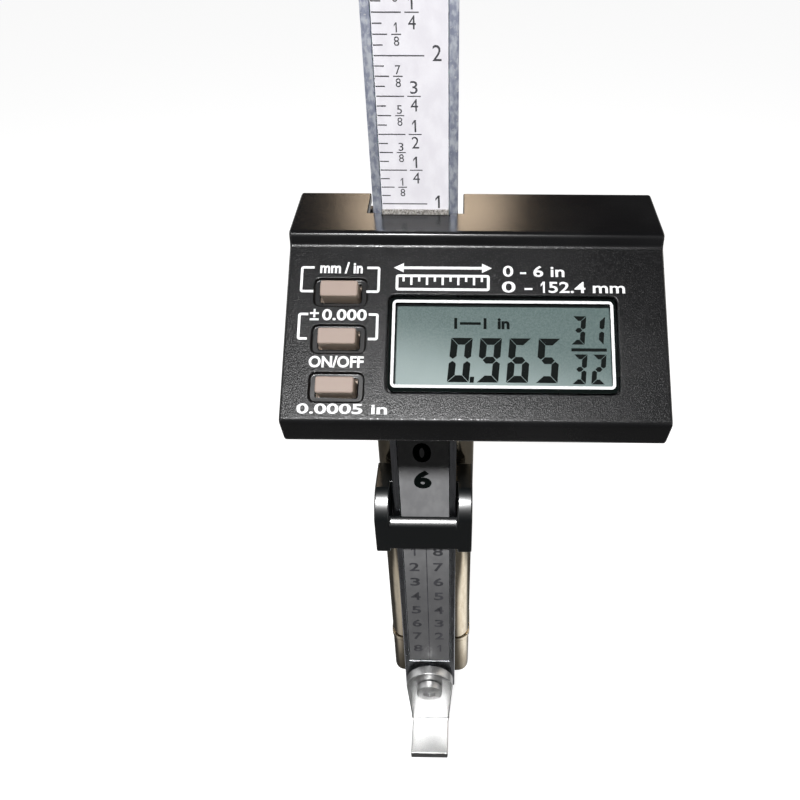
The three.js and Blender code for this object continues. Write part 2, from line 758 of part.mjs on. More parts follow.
function addBattery() {
  const trayBody = box(cellX - trayHalf, cellX + trayHalf, cellY - trayHalf, cellY + trayHalf,
    floorInside, trayTop);
  const coverWay = box(cellX - trayHalf - overrun, cellX + trayHalf + overrun,
    cellY - coverTongueHalf - seatGap, cellY + coverTongueHalf + seatGap,
    floorInside - overrun, coverTongueTop + seatGap);
  const bore = rod('z', trayBoreRadius, floorInside - overrun, trayCeiling, [cellX, cellY], 2 * circleSteps);
  const contactPocket = box(cellX - contactWidth / 2 - seatGap, cellX + contactWidth / 2 + seatGap,
    cellY, cellY + cellRadius + contactThickness + 2 * seatGap, coverTongueTop - overrun, trayCeiling);
  addPiece(readout, 'battery_tray', combine(trayBody, [], [coverWay, bore, contactPocket]), blackPlastic);

  const cell = rod('z', cellRadius, cellBottom, cellTop, [cellX, cellY], 2 * circleSteps);
  addPiece(readout, 'coin_cell', cell, steel);
  const upperBottom = cellTop + seatGap;
  addPiece(readout, 'battery_contact_upper', box(cellX - contactLength / 2, cellX + contactLength / 2,
    cellY - contactWidth / 2, cellY + contactWidth / 2, upperBottom, upperBottom + contactThickness), brass);
  const sideFront = cellY + cellRadius + seatGap;
  addPiece(readout, 'battery_contact_side', box(cellX - contactWidth / 2, cellX + contactWidth / 2,
    sideFront, sideFront + contactThickness, cellBottom, cellTop), brass);

  const cover = roundedShape([
    [cellY - coverHalf, headFloor],
    [cellY + coverHalf, headFloor],
    [cellY + coverHalf, headFloor + coverLedge + seatGap],
    [cellY + coverTongueHalf, headFloor + coverLedge + seatGap],
    [cellY + coverTongueHalf, coverTongueTop],
    [cellY - coverTongueHalf, coverTongueTop],
    [cellY - coverTongueHalf, headFloor + coverLedge + seatGap],
    [cellY - coverHalf, headFloor + coverLedge + seatGap],
  ]);
  const ribs = Array.from({ length: coverRibCount }, (_, index) => {
    const x = headRight - (index + 1) * coverRibPitch - coverRibWidth;
    return box(x, x + coverRibWidth, cellY - coverHalf / 2, cellY + coverHalf / 2,
      headFloor - overrun, headFloor + coverRibDepth);
  });
  addPiece(readout, 'battery_cover', combine(alongX(cover, coverLeft, headRight), [], ribs), blackPlastic);
}

function addBeam() {
  const body = alongZ(roundedRectangle(beamWidth, beamThickness, seatGap, 0, (beamFrontY + beamBackY) / 2),
    beamBottom, beamTop);
  const grooveHalf = beamHalf - beamEdge;
  const grooveBottom = beamBottom + grooveEndMargin;
  const groove = box(-grooveHalf, grooveHalf, beamFrontY - overrun, beamFrontY + grooveDepth,
    grooveBottom, beamTop + overrun);
  const stopZ = beamTop - stopScrewFromTop;
  const stopHole = rod('y', stopScrewRadius + seatGap, beamFrontY - overrun, beamBackY + overrun, [0, stopZ]);
  const pivotHole = rod('y', pivotRadius + seatGap, beamFrontY - overrun, beamBackY + overrun,
    [0, pivotHeight]);
  addPiece(readout, 'beam', combine(body, [], [groove, stopHole, pivotHole]), steel);

  const insertHalf = grooveHalf - seatGap / 2;
  const stripTop = stopZ - stopScrewHead - seatGap;
  const stripBottom = grooveBottom + seatGap;
  const stripBackY = beamFrontY + grooveDepth;
  const stripFrontY = stripBackY - stripThickness;
  const labelSplit = rulerZeroHeight - labelMargin;
  addPiece(readout, 'scale_strip', box(-insertHalf, insertHalf, stripFrontY, stripBackY,
    stripBottom, stripTop), boardGreen);
  addPiece(readout, 'ruler_label', box(-insertHalf, insertHalf, stripFrontY - labelThickness, stripFrontY,
    labelSplit, stripTop), labelWhite);
  addPiece(readout, 'lower_label', box(-insertHalf, insertHalf, stripFrontY - labelThickness, stripFrontY,
    stripBottom, labelSplit - seatGap), labelGrey);
  const stopHeadY = beamFrontY + grooveDepth;
  addPiece(readout, 'stop_screw', turnedAboutY(socketHead(stopScrewHead, stopScrewHeadHeight + grooveDepth,
    stopScrewRadius, beamThickness - grooveDepth), 0, stopHeadY, stopZ), darkSteel);
}

function addFoot() {
  const washerBackY = beamFrontY - seatGap;
  const washerFrontY = washerBackY - washerThickness;
  const footBackY = washerFrontY - seatGap;
  const footFrontY = footBackY - footThickness;
  const ring = rod('y', washerRadius, washerFrontY, washerBackY, [0, pivotHeight]);
  const ringHole = rod('y', pivotRadius + seatGap, washerFrontY - overrun, washerBackY + overrun,
    [0, pivotHeight]);
  addPiece(readout, 'pivot_washer', combine(ring, [], [ringHole]), steel);

  const footHalf = footWidth / 2;
  const toeBottom = pivotHeight - footReach;
  const toeHalf = footToeWidth / 2;
  const arm = new THREE.Shape();
  arm.moveTo(-toeHalf, toeBottom);
  arm.lineTo(toeHalf, toeBottom);
  arm.lineTo(footHalf, pivotHeight);
  arm.absarc(0, pivotHeight, footHalf, 0, Math.PI, false);
  arm.closePath();
  const toe = box(-toeHalf, toeHalf, footBackY - footToeLength - footThickness, footBackY,
    toeBottom, toeBottom + footThickness);
  const hole = rod('y', pivotRadius + seatGap, footFrontY - overrun, footBackY + overrun, [0, pivotHeight]);
  const armPlate = extrude(arm, footThickness, 0, 2 * roundSteps).rotateX(Math.PI / 2)
    .translate(0, footBackY, 0);
  addPiece(readout, 'foot', combine(armPlate, [toe], [hole]), steel);

  const padFrontY = footBackY - footToeLength - footThickness + padMargin;
  const padTop = toeBottom - seatGap;
  const pad = roundedRectangle(footToeWidth - 2 * padMargin, footBackY - padMargin - padFrontY, padMargin,
    0, (padFrontY + footBackY - padMargin) / 2);
  addPiece(readout, 'foot_pad', alongZ(pad, padTop - padThickness, padTop), rubberGrey);

  const headBack = footFrontY - seatGap;
  const screwLength = beamBackY + seatGap + nutThickness - headBack;
  addPiece(readout, 'foot_pivot_screw', turnedAboutY(socketHead(pivotHeadRadius, pivotHeadHeight,
    pivotRadius, screwLength), 0, headBack, pivotHeight), steel);
  const nutFrontY = beamBackY + seatGap;
  const nutRadius = nutAcross / Math.sqrt(3);
  const nut = rod('y', nutRadius, nutFrontY, nutFrontY + nutThickness, [0, pivotHeight], hexSides);
  const nutHole = rod('y', pivotRadius + seatGap, nutFrontY - overrun, nutFrontY + nutThickness + overrun,
    [0, pivotHeight]);
  addPiece(readout, 'foot_pivot_nut', combine(nut, [], [nutHole]), steel);
}

function addGuideBlock() {
  const blockBottom = blockTopHeight - blockHeight;
  const half = blockWidth / 2;
  const slotHalf = beamHalf + blockSlotSide;
  const slotFrontY = beamFrontY - blockSlotFront;
  const slotBackY = beamBackY + blockSlotBack;
  const side = new THREE.Shape();
  side.moveTo(blockBackY, blockBottom);
  side.lineTo(blockBackY, blockTopHeight);
  side.lineTo(blockFrontY + blockFrontRound, blockTopHeight);
  side.absarc(blockFrontY + blockFrontRound, blockTopHeight - blockFrontRound, blockFrontRound,
    Math.PI / 2, Math.PI, false);
  side.lineTo(blockFrontY, blockBottom + blockEdgeRound);
  side.lineTo(blockFrontY + blockEdgeRound, blockBottom);
  side.closePath();
  const turn = new THREE.Matrix4().makeBasis(
    new THREE.Vector3(0, 1, 0), new THREE.Vector3(0, 0, 1), new THREE.Vector3(1, 0, 0));
  const body = extrude(side, blockWidth, blockEdgeRound, 2 * roundSteps).applyMatrix4(turn)
    .translate(baseOffset - half, 0, 0);
  const slotLeft = baseOffset - slotHalf;
  const slotRight = baseOffset + slotHalf;
  const slot = box(slotLeft, slotRight, slotFrontY, slotBackY,
    blockBottom - overrun, blockTopHeight + overrun);
  const under = box(slotLeft, slotRight, blockFrontY - overrun, slotBackY,
    blockBottom - overrun, blockBottom + blockBarRise);
  const barTop = blockBottom + blockBarTop;
  const over = new THREE.Shape();
  over.moveTo(slotBackY, blockTopHeight + overrun);
  over.lineTo(blockFrontY - overrun, blockTopHeight + overrun);
  over.lineTo(blockFrontY - overrun, barTop - blockBarRound);
  over.lineTo(blockFrontY, barTop - blockBarRound);
  over.absarc(blockFrontY + blockBarRound, barTop - blockBarRound, blockBarRound, Math.PI, Math.PI / 2, true);
  over.lineTo(slotBackY, barTop);
  over.closePath();
  const front = extrude(over, slotRight - slotLeft, 0, 2 * roundSteps).applyMatrix4(turn)
    .translate(slotLeft, 0, 0);
  const middle = (blockTopHeight + blockBottom) / 2;
  const pocket = box(-guidePadWidth / 2 - seatGap, guidePadWidth / 2 + seatGap,
    slotBackY - overrun, beamBackY + guidePadThickness + 2 * seatGap,
    middle - guidePadHeight / 2 - seatGap, middle + guidePadHeight / 2 + seatGap);
  const screwHeights = [middle - blockScrewSpacing / 2, middle + blockScrewSpacing / 2];
  const holes = screwHeights.map((z) => rod('y', blockScrewRadius + seatGap,
    blockBackY - blockScrewReach, blockBackY + overrun, [baseOffset, z]));
  addPiece(readout, 'guide_block', combine(body, [], [slot, under, front, pocket, ...holes]), glossBlack);

  const padFrontY = beamBackY + seatGap;
  addPiece(readout, 'guide_pad', box(-guidePadWidth / 2, guidePadWidth / 2, padFrontY,
    padFrontY + guidePadThickness, middle - guidePadHeight / 2, middle + guidePadHeight / 2), nylon);

  const webBackY = railFrontY + railWall;
  screwHeights.forEach((z, index) => {
    const screw = turnedAboutY(socketHead(blockScrewHead, blockScrewHeadHeight, blockScrewRadius,
      webBackY - blockBackY + blockScrewReach - seatGap), 0, 0, 0).rotateX(Math.PI)
      .translate(baseOffset, webBackY, z);
    addPiece(readout, `block_screw_${index + 1}`, screw, darkSteel);
  });
  return screwHeights;
}

function railOutline(growth, backY) {
  const half = railWidth / 2 + growth;
  const frontY = railFrontY - growth;
  return [
    [baseOffset - half, frontY, railRound + growth],
    [baseOffset + half, frontY, railRound + growth],
    [baseOffset + half, backY],
    [baseOffset - half, backY],
  ];
}

// A form inside the rail's channel, from the rail's front web back to backY.
function channelOutline(gap, backY) {
  const half = railWidth / 2 - railWall - gap;
  const frontY = railFrontY + railWall + gap;
  return [
    [baseOffset - half, frontY, railRound - railWall],
    [baseOffset + half, frontY, railRound - railWall],
    [baseOffset + half, backY],
    [baseOffset - half, backY],
  ];
}

function addRail(blockScrewHeights) {
  const railBottom = shoeTop + seatGap;
  const bossMiddle = (shoeTop + bracketBossTop) / 2;
  const railScrewHeights = [bossMiddle - railScrewSpacing / 2, bossMiddle + railScrewSpacing / 2];
  const body = extrude(roundedShape(railOutline(0, railBackY)), railTopHeight - railBottom, 0, 2 * roundSteps)
    .translate(0, 0, railBottom);
  const hollow = extrude(roundedShape(channelOutline(0, railBackY + overrun)),
    railTopHeight - railBottom + 2 * overrun).translate(0, 0, railBottom - overrun);
  const blockHoles = blockScrewHeights.map((z) => rod('y', blockScrewRadius + seatGap,
    railFrontY - overrun, railFrontY + railWall + overrun, [baseOffset, z]));
  const bracketHoles = railScrewHeights.map((z) => rod('y', railScrewRadius + seatGap,
    railFrontY - overrun, railFrontY + railWall + overrun, [baseOffset, z]));
  addPiece(readout, 'rail', combine(body, [], [hollow, ...blockHoles, ...bracketHoles]), chrome);
  railScrewHeights.forEach((z, index) => {
    addPiece(readout, `rail_screw_${index + 1}`, turnedAboutY(socketHead(railScrewHead, railScrewHeadHeight,
      railScrewRadius, railScrewLength), baseOffset, railFrontY, z), steel);
  });

  const plateSink = bracketThickness / 2;
  const shoeBottom = shoeTop - shoeHeight;
  const plate = alongY(roundedRectangle(bracketWidth, bracketHeight, bracketCorner), -bracketThickness, 0);
  const shoe = extrude(roundedShape(railOutline(0, -plateSink)), shoeHeight, 0, 2 * roundSteps)
    .translate(0, 0, shoeBottom);
  const bead = extrude(roundedShape(railOutline(beadProud, -plateSink)), beadHeight, 0, 2 * roundSteps)
    .translate(0, 0, shoeTop - beadHeight);
  const boss = alongZ(roundedShape(channelOutline(seatGap, -plateSink)), shoeTop - overrun, bracketBossTop);
  const bossHoles = railScrewHeights.map((z) => rod('y', railScrewRadius + seatGap,
    railFrontY, railFrontY + railScrewLength + seatGap, [baseOffset, z]));
  const slot = alongY(roundedRectangle(slotWidth, slotLength, slotWidth / 2, 0, slotMiddle),
    -bracketThickness - overrun, overrun);
  const lowerHole = rod('y', slotWidth / 2, -bracketThickness - overrun, overrun,
    [0, shoeBottom - lowerHoleDrop]);
  const bracket = combine(plate, [shoe, bead, boss], [...bossHoles, slot, lowerHole]);
  addPiece(readout, 'base_bracket', bracket, chrome);
}

addHousing();
addRearPlate();
addDisplay();
addDisplayBoard();
addButtons();
addSlider();
addFlexCable();
addBattery();
addBeam();
addFoot();
addRail(addGuideBlock());

export default readout;
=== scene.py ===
import json
import math
import random

import bmesh
import bpy
from mathutils import Matrix, Vector

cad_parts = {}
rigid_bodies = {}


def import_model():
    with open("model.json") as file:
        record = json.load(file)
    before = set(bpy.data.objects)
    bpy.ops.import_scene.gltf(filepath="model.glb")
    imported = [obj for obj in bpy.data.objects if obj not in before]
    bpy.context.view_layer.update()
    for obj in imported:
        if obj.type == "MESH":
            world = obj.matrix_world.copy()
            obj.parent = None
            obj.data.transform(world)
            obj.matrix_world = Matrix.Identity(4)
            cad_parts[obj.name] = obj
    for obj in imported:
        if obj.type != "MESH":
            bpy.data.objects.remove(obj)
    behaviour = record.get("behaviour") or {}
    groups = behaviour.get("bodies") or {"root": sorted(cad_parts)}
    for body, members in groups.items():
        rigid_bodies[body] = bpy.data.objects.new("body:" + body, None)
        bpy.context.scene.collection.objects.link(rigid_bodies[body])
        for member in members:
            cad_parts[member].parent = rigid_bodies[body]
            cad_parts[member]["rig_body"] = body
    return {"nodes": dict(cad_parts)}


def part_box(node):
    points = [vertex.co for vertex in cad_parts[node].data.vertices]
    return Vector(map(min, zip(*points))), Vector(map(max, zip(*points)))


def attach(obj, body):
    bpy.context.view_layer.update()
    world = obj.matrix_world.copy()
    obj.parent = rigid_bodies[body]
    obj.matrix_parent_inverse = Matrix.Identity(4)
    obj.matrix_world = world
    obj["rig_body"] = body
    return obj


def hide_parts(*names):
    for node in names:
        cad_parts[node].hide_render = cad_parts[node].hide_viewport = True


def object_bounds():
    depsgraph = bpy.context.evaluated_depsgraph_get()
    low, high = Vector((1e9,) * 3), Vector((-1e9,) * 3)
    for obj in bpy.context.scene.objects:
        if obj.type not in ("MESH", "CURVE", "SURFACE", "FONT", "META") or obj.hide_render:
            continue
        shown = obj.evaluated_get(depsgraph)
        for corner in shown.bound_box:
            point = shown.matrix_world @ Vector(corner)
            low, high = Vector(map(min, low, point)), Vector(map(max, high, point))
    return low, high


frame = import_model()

cad_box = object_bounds()

# Places on the readout, in millimetres, from the CAD
MM = 0.001
PRINT_LEFT = -22.0            # places across the face are counted from here
FACE_TOP_Y = -33.76
FACE_TOP_Z = 151.281
FACE_TILT = math.radians(39.23)
LENS_DEPTH = 0.5
SCREEN_DEPTH = 2.7
PRINT = 0.02                  # thickness of printed ink
INK_SINK = 0.01               # how far ink starts inside what it is printed on
INCH = 25.4
RULER_ZERO = 130.6
RULER_INCHES = 6
LABEL_LEFT = -6.25

FACE = (Matrix.Translation((PRINT_LEFT * MM, FACE_TOP_Y * MM, FACE_TOP_Z * MM))
        @ Matrix.Rotation(FACE_TILT, 4, "X"))
FACE_NORMAL = (FACE.to_3x3() @ Vector((0, 0, 1))).normalized()
LABEL_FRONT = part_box("ruler_label")[0].y
LABEL = Matrix.Translation((0, LABEL_FRONT, 0)) @ Matrix.Rotation(math.radians(90), 4, "X")
OUT_OF_BACK = Matrix.Rotation(math.radians(-90), 4, "X")
OUT_OF_FRONT = Matrix.Rotation(math.radians(90), 4, "X")


# Finishes

class Value:
    """A number in a node tree; Python's operators on it add their Math nodes."""

    def __init__(self, graph, socket):
        self.graph = graph
        self.socket = socket

    def math(self, operation, first, second):
        return self.graph.value("ShaderNodeMath", {"operation": operation}, {0: first, 1: second})

    def __add__(self, other):
        return self.math("ADD", self, other)

    def __radd__(self, other):
        return self.math("ADD", other, self)

    def __sub__(self, other):
        return self.math("SUBTRACT", self, other)

    def __rsub__(self, other):
        return self.math("SUBTRACT", other, self)

    def __mul__(self, other):
        return self.math("MULTIPLY", self, other)

    def __rmul__(self, other):
        return self.math("MULTIPLY", other, self)

    def __abs__(self):
        return self.math("MAXIMUM", self, 0 - self)

    def rise(self, low, high):
        """0 below low and 1 above high, eased between."""
        return self.graph.value("ShaderNodeMapRange", {"interpolation_type": "SMOOTHSTEP"},
                                {"Value": self, "From Min": low, "From Max": high})


class Graph:
    """The nodes of a material or of the world."""

    def __init__(self, tree):
        self.tree = tree

    def set(self, socket, value):
        if isinstance(value, Value):
            value = value.socket
        if isinstance(value, bpy.types.NodeSocket):
            self.tree.links.new(value, socket)
        elif isinstance(value, tuple) and socket.type == "RGBA" and len(value) == 3:
            socket.default_value = (*value, 1)
        else:
            socket.default_value = value

    def node(self, kind, settings=None, inputs=None):
        made = self.tree.nodes.new(kind)
        for setting, value in (settings or {}).items():
            setattr(made, setting, value)
        for socket, value in (inputs or {}).items():
            self.set(made.inputs[socket], value)
        return made

    def value(self, kind, settings=None, inputs=None, output=0):
        return Value(self, self.node(kind, settings, inputs).outputs[output])

    def ray(self, kind):
        """1 for rays of that kind and 0 for the rest."""
        return self.value("ShaderNodeLightPath", output=f"Is {kind} Ray")

    def between(self, mask, plain, other):
        """One colour where mask is 0 and the other where it is 1."""
        return self.node("ShaderNodeMix", {"data_type": "RGBA"}, {0: mask, 6: plain, 7: other}).outputs[2]


class Finish(Graph):
    """A procedural material of the readout, built round one shader."""

    def __init__(self, name, colour, roughness, **sockets):
        self.material = bpy.data.materials.new(name)
        self.material.use_nodes = True
        super().__init__(self.material.node_tree)
        self.shader = self.tree.nodes["Principled BSDF"]
        self.set(self.shader.inputs["Base Color"], colour)
        self.set(self.shader.inputs["Roughness"], roughness)
        self.paint(**sockets)
        self.place = self.node("ShaderNodeTexCoord").outputs["Object"]

    def paint(self, **sockets):
        for socket, value in sockets.items():
            self.set(self.shader.inputs[socket.replace("_", " ")], value)

    def stretched(self, stretch):
        """Object coordinates, counted in millimetres and stretched along each axis."""
        scale = tuple(1 / (MM * length) for length in stretch)
        return self.node("ShaderNodeMapping", {"vector_type": "POINT"},
                         {"Vector": self.place, "Scale": scale}).outputs[0]

    def cloud(self, stretch, detail=2.0, roughness=0.5):
        """Soft noise whose blots are as long as stretch, in millimetres."""
        return self.value("ShaderNodeTexNoise", None, {
            "Vector": self.stretched(stretch), "Scale": 1.0, "Detail": detail, "Roughness": roughness})

    def grains(self, size):
        """Cells of that size, in millimetres: how far into each, and a random number for each."""
        cells = self.node("ShaderNodeTexVoronoi", None, {
            "Vector": self.stretched((size, size, size)), "Scale": 1.0})
        tint = self.value("ShaderNodeSeparateColor", None, {"Color": cells.outputs["Color"]})
        return Value(self, cells.outputs["Distance"]), tint

    def along(self, direction, origin=(0, 0, 0)):
        """Distance in millimetres from a plane through origin, along a direction."""
        direction = Vector(direction)
        reach = self.value("ShaderNodeVectorMath", {"operation": "DOT_PRODUCT"}, {
            0: self.place, 1: tuple(direction / MM)}, "Value")
        return reach - direction.dot(Vector(origin))

    def bump(self, height, depth, strength=1.0):
        """Relief whose height runs from 0 to 1, depth millimetres deep."""
        self.paint(Normal=self.node("ShaderNodeBump", None, {
            "Strength": strength, "Distance": depth * MM, "Height": height}).outputs[0])


def make_housing_black():
    finish = Finish("housing_black", (0.008, 0.008, 0.009), 0.3,
                    Specular_IOR_Level=0.25, Coat_Roughness=0.25)
    height = finish.along((0, 0, 1))
    off_plane = abs(finish.along(FACE_NORMAL, FACE.translation / MM))
    on_face = (1 - off_plane.rise(0.02, 0.12)) * (1 - height.rise(151.4, 151.8))
    on_roof = height.rise(153.0, 153.5)
    depth, tint = finish.grains(0.3)
    fine = finish.cloud((0.15, 0.15, 0.15), 2)
    # Grain cells: their extra coat is real, and their lighter base colour is a painted glint of the light on
    # the grain.
    speck_and_painted_glint = (1 - depth.rise(0.2, 0.55)) * tint.rise(0.35, 0.75) * on_face
    smudge = finish.cloud((14, 14, 14), 3)
    base = finish.between(smudge.rise(0.35, 0.7), (0.005, 0.005, 0.0055), (0.008, 0.008, 0.0085))
    finish.paint(Base_Color=finish.between(speck_and_painted_glint, base, (0.016, 0.016, 0.017)),
                 Roughness=0.25 + on_face * 0.02 + smudge * 0.04 - on_roof * 0.08,
                 Coat_Weight=speck_and_painted_glint + (1 - on_face) * (1 - on_roof) * 0.7)
    finish.bump(fine * (0.12 + on_face * 0.6) + depth * on_face * 0.3, 0.05)
    return finish


def make_window_clear():
    finish = Finish("window_clear", (0.05, 0.055, 0.055), 0.03, Alpha=0.06)
    haze = finish.cloud((6, 6, 6), 3)
    finish.paint(Alpha=0.04 + haze * 0.03, Roughness=0.03 + haze * 0.03)
    return finish


def make_screen_grey_green():
    finish = Finish("screen_grey_green", (0.3, 0.37, 0.36), 0.32, Specular_IOR_Level=0.3)
    down_face = (FACE.to_3x3() @ Vector((0, -1, 0))).normalized()
    from_top = finish.along(down_face, FACE.translation / MM)
    from_left = finish.along((1, 0, 0), FACE.translation / MM)
    # Painted shade: the screen is darkened toward its top and its right, standing in for the window frame's
    # shadow and the fall of the light across it.
    painted_shade = (from_top - from_left * 0.22).rise(7, 20)
    fleck = finish.cloud((0.3, 0.3, 0.3), 2)
    tone = finish.between(painted_shade, (0.098, 0.145, 0.14), (0.295, 0.368, 0.36))
    finish.paint(Base_Color=finish.between(fleck.rise(0.35, 0.65) * 0.2, tone, (0.27, 0.335, 0.328)),
                 Roughness=0.28 + fleck * 0.1)
    return finish


def make_lcd_ink():
    finish = Finish("lcd_ink", (0.006, 0.008, 0.008), 0.5, Specular_IOR_Level=0.0)
    fleck = finish.cloud((0.4, 0.4, 0.4), 2)
    finish.paint(Base_Color=finish.between(fleck, (0.003, 0.004, 0.004), (0.006, 0.009, 0.008)))
    return finish


def make_white_ink():
    finish = Finish("white_ink", (0.8, 0.79, 0.8), 0.45)
    wear = finish.cloud((0.5, 0.5, 0.5), 3)
    finish.paint(Base_Color=finish.between(wear.rise(0.25, 0.6), (0.66, 0.655, 0.665), (0.87, 0.865, 0.875)),
                 Roughness=0.4 + wear * 0.15)
    return finish


def make_button_taupe():
    finish = Finish("button_taupe", (0.55, 0.43, 0.37), 0.5, Specular_IOR_Level=0.35)
    fine = finish.cloud((0.2, 0.2, 0.2), 2)
    patch = finish.cloud((3, 3, 3), 2)
    # The caps are darker past 1.95 mm out from the face and lighter under 1.5 mm, eased between.
    cap_top = finish.along(FACE_NORMAL, FACE.translation / MM).rise(1.5, 1.95)
    tone = finish.between(cap_top, (0.76, 0.62, 0.5), (0.32, 0.247, 0.21))
    finish.paint(Base_Color=finish.between(patch * 0.3, tone, (0.4, 0.32, 0.28)),
                 Roughness=0.45 + fine * 0.15)
    finish.bump(fine, 0.02, 0.35)
    return finish


def make_plain(name, dark, light, roughness, grain, depth):
    """A moulded, coated or ground finish: two close tones, and a fine grain that also roughens it."""
    finish = Finish(name, dark, roughness)
    fine = finish.cloud(grain, 3)
    patch = finish.cloud(tuple(12 * size for size in grain), 2)
    finish.paint(Base_Color=finish.between(patch.rise(0.3, 0.7), dark, light),
                 Roughness=roughness - 0.06 + fine * 0.12)
    finish.bump(fine, depth, 0.5)
    return finish


def make_brushed(name, dark, light, roughness, grain, depth):
    """Ground or rolled metal: streaks along its length, small scuffs and duller patches."""
    finish = Finish(name, light, roughness, Metallic=1.0)
    streak = finish.cloud(grain, 4, 0.6)
    patch = finish.cloud(tuple(max(9, 3 * size) for size in grain), 3)
    scuffs = finish.cloud((0.7, 0.7, 0.7), 4, 0.7).rise(0.6, 0.75)
    finish.paint(Base_Color=finish.between(streak.rise(0.25, 0.75), dark, light),
                 Roughness=roughness + (streak - 0.5) * 0.12 + patch * 0.08 + scuffs * 0.1)
    finish.bump(streak, depth, 0.4)
    return finish


def make_beam_steel():
    """Ground steel: dull and spangled above the resting head, and smoother below it, where its colour is
    darkened as a painted dark reflection.
    """
    finish = Finish("beam_steel", (0.6, 0.64, 0.74), 0.34, Metallic=1.0)
    streak = finish.cloud((0.3, 0.3, 5), 4, 0.6)
    patch = finish.cloud((0.9, 0.9, 1.6), 3)
    spots = finish.cloud((0.45, 0.45, 0.45), 2).rise(0.6, 0.7)
    # Below 100 to 118 mm the steel's colour is darkened, a painted dark reflection, and its roughness is
    # lowered.
    painted_dark_below = 1 - finish.along((0, 0, 1)).rise(100, 118)
    bright = finish.between(patch.rise(0.35, 0.65), (0.5, 0.54, 0.69), (0.88, 0.92, 1))
    bright = finish.between(spots * 0.7, bright, (0.97, 0.98, 1))
    dark = finish.between(streak.rise(0.3, 0.7), (0.3, 0.31, 0.33), (0.42, 0.43, 0.46))
    finish.paint(Base_Color=finish.between(painted_dark_below, bright, dark),
                 Roughness=0.48 + (streak - 0.5) * 0.12 + patch * 0.1 - painted_dark_below * 0.24)
    finish.bump(streak, 0.03, 0.25)
    return finish


def make_block_gloss_black():
    finish = Finish("block_gloss_black", (0.006, 0.007, 0.0075), 0.26, Specular_IOR_Level=0.4,
                    Coat_Weight=1.0, Coat_Roughness=0.24)
    ripple = finish.cloud((5, 5, 5), 2)
    scratch = finish.cloud((0.12, 3, 0.12), 3, 0.7).rise(0.66, 0.74)
    dust = finish.cloud((0.5, 0.5, 0.5), 3).rise(0.68, 0.8)
    finish.paint(Base_Color=finish.between(dust * 0.25, (0.004, 0.005, 0.0055), (0.04, 0.04, 0.042)),
                 Roughness=0.26 + ripple * 0.05 + scratch * 0.1 + dust * 0.2,
                 Coat_Weight=(1 - dust * 0.5) * (1 - finish.along((0, 0, 1)).rise(77, 78.6)))
    finish.bump(ripple, 0.03, 0.3)
    return finish


def make_label(name, dark, light, blot, film):
    """A printed label, mottled, under clear film whose weight is given."""
    finish = Finish(name, light, 0.3, Specular_IOR_Level=0.3, Coat_Roughness=0.1)
    mottle = finish.cloud((blot, blot, 1.6 * blot), 3)
    fine = finish.cloud((0.24, 0.24, 0.24), 2)
    height = finish.along((0, 0, 1))
    # Painted shade: the label is darkened from 78 mm down to 30 mm, standing in for the fall of the light
    # toward the bottom; above 200 mm it is darkened a little too.
    painted_shade_and_darker_top = 0.72 - height.rise(30, 78) * 0.72 + height.rise(200, 300) * 0.25
    tone = finish.between(mottle.rise(0.3, 0.7), dark, light)
    tone = finish.between(painted_shade_and_darker_top, tone, tuple(0.3 * part for part in dark))
    finish.paint(Base_Color=finish.between(fine * 0.2, tone, tuple(0.8 * part for part in dark)),
                 Roughness=0.3 + mottle * 0.12, Coat_Weight=(film + mottle * 0.1) * height.rise(6, 34))
    finish.bump(mottle, 0.01, 0.3)
    return finish


def make_felt_grey():
    finish = Finish("felt_grey", (0.2, 0.18, 0.15), 0.95, Sheen_Weight=0.3)
    tangle = finish.cloud((0.12, 0.12, 0.3), 4, 0.7)
    fleck = finish.cloud((0.4, 0.4, 0.4), 2)
    tone = finish.between(tangle.rise(0.35, 0.65), (0.05, 0.047, 0.042), (0.5, 0.47, 0.43))
    finish.paint(Base_Color=finish.between(fleck.rise(0.5, 0.62) * 0.7, tone, (0.6, 0.58, 0.56)))
    finish.bump(tangle, 0.12, 0.8)
    return finish


def make_plated_bright():
    finish = Finish("plated_bright", (0.5, 0.44, 0.36), 0.2, Metallic=1.0)
    wave = finish.cloud((6, 6, 26), 3)
    cloudy = finish.cloud((2.5, 2.5, 9), 4, 0.6)
    spots = finish.cloud((0.6, 0.6, 0.6), 3, 0.7).rise(0.68, 0.8)
    across = finish.along((1, 0, 0))
    # The rail's left strip is darkened, mottled by the cloud: a painted dark reflection.
    painted_dark_left = (1 - across.rise(-11, -8.5)) * (0.35 + cloudy.rise(0.35, 0.65) * 0.4)
    tone = finish.between(cloudy.rise(0.3, 0.75), (0.66, 0.56, 0.42), (0.85, 0.76, 0.6))
    finish.paint(Base_Color=finish.between(painted_dark_left, tone, (0.2, 0.17, 0.13)),
                 Roughness=0.1 + cloudy * 0.06 + spots * 0.2)
    finish.bump(wave, 0.1, 0.3)
    return finish


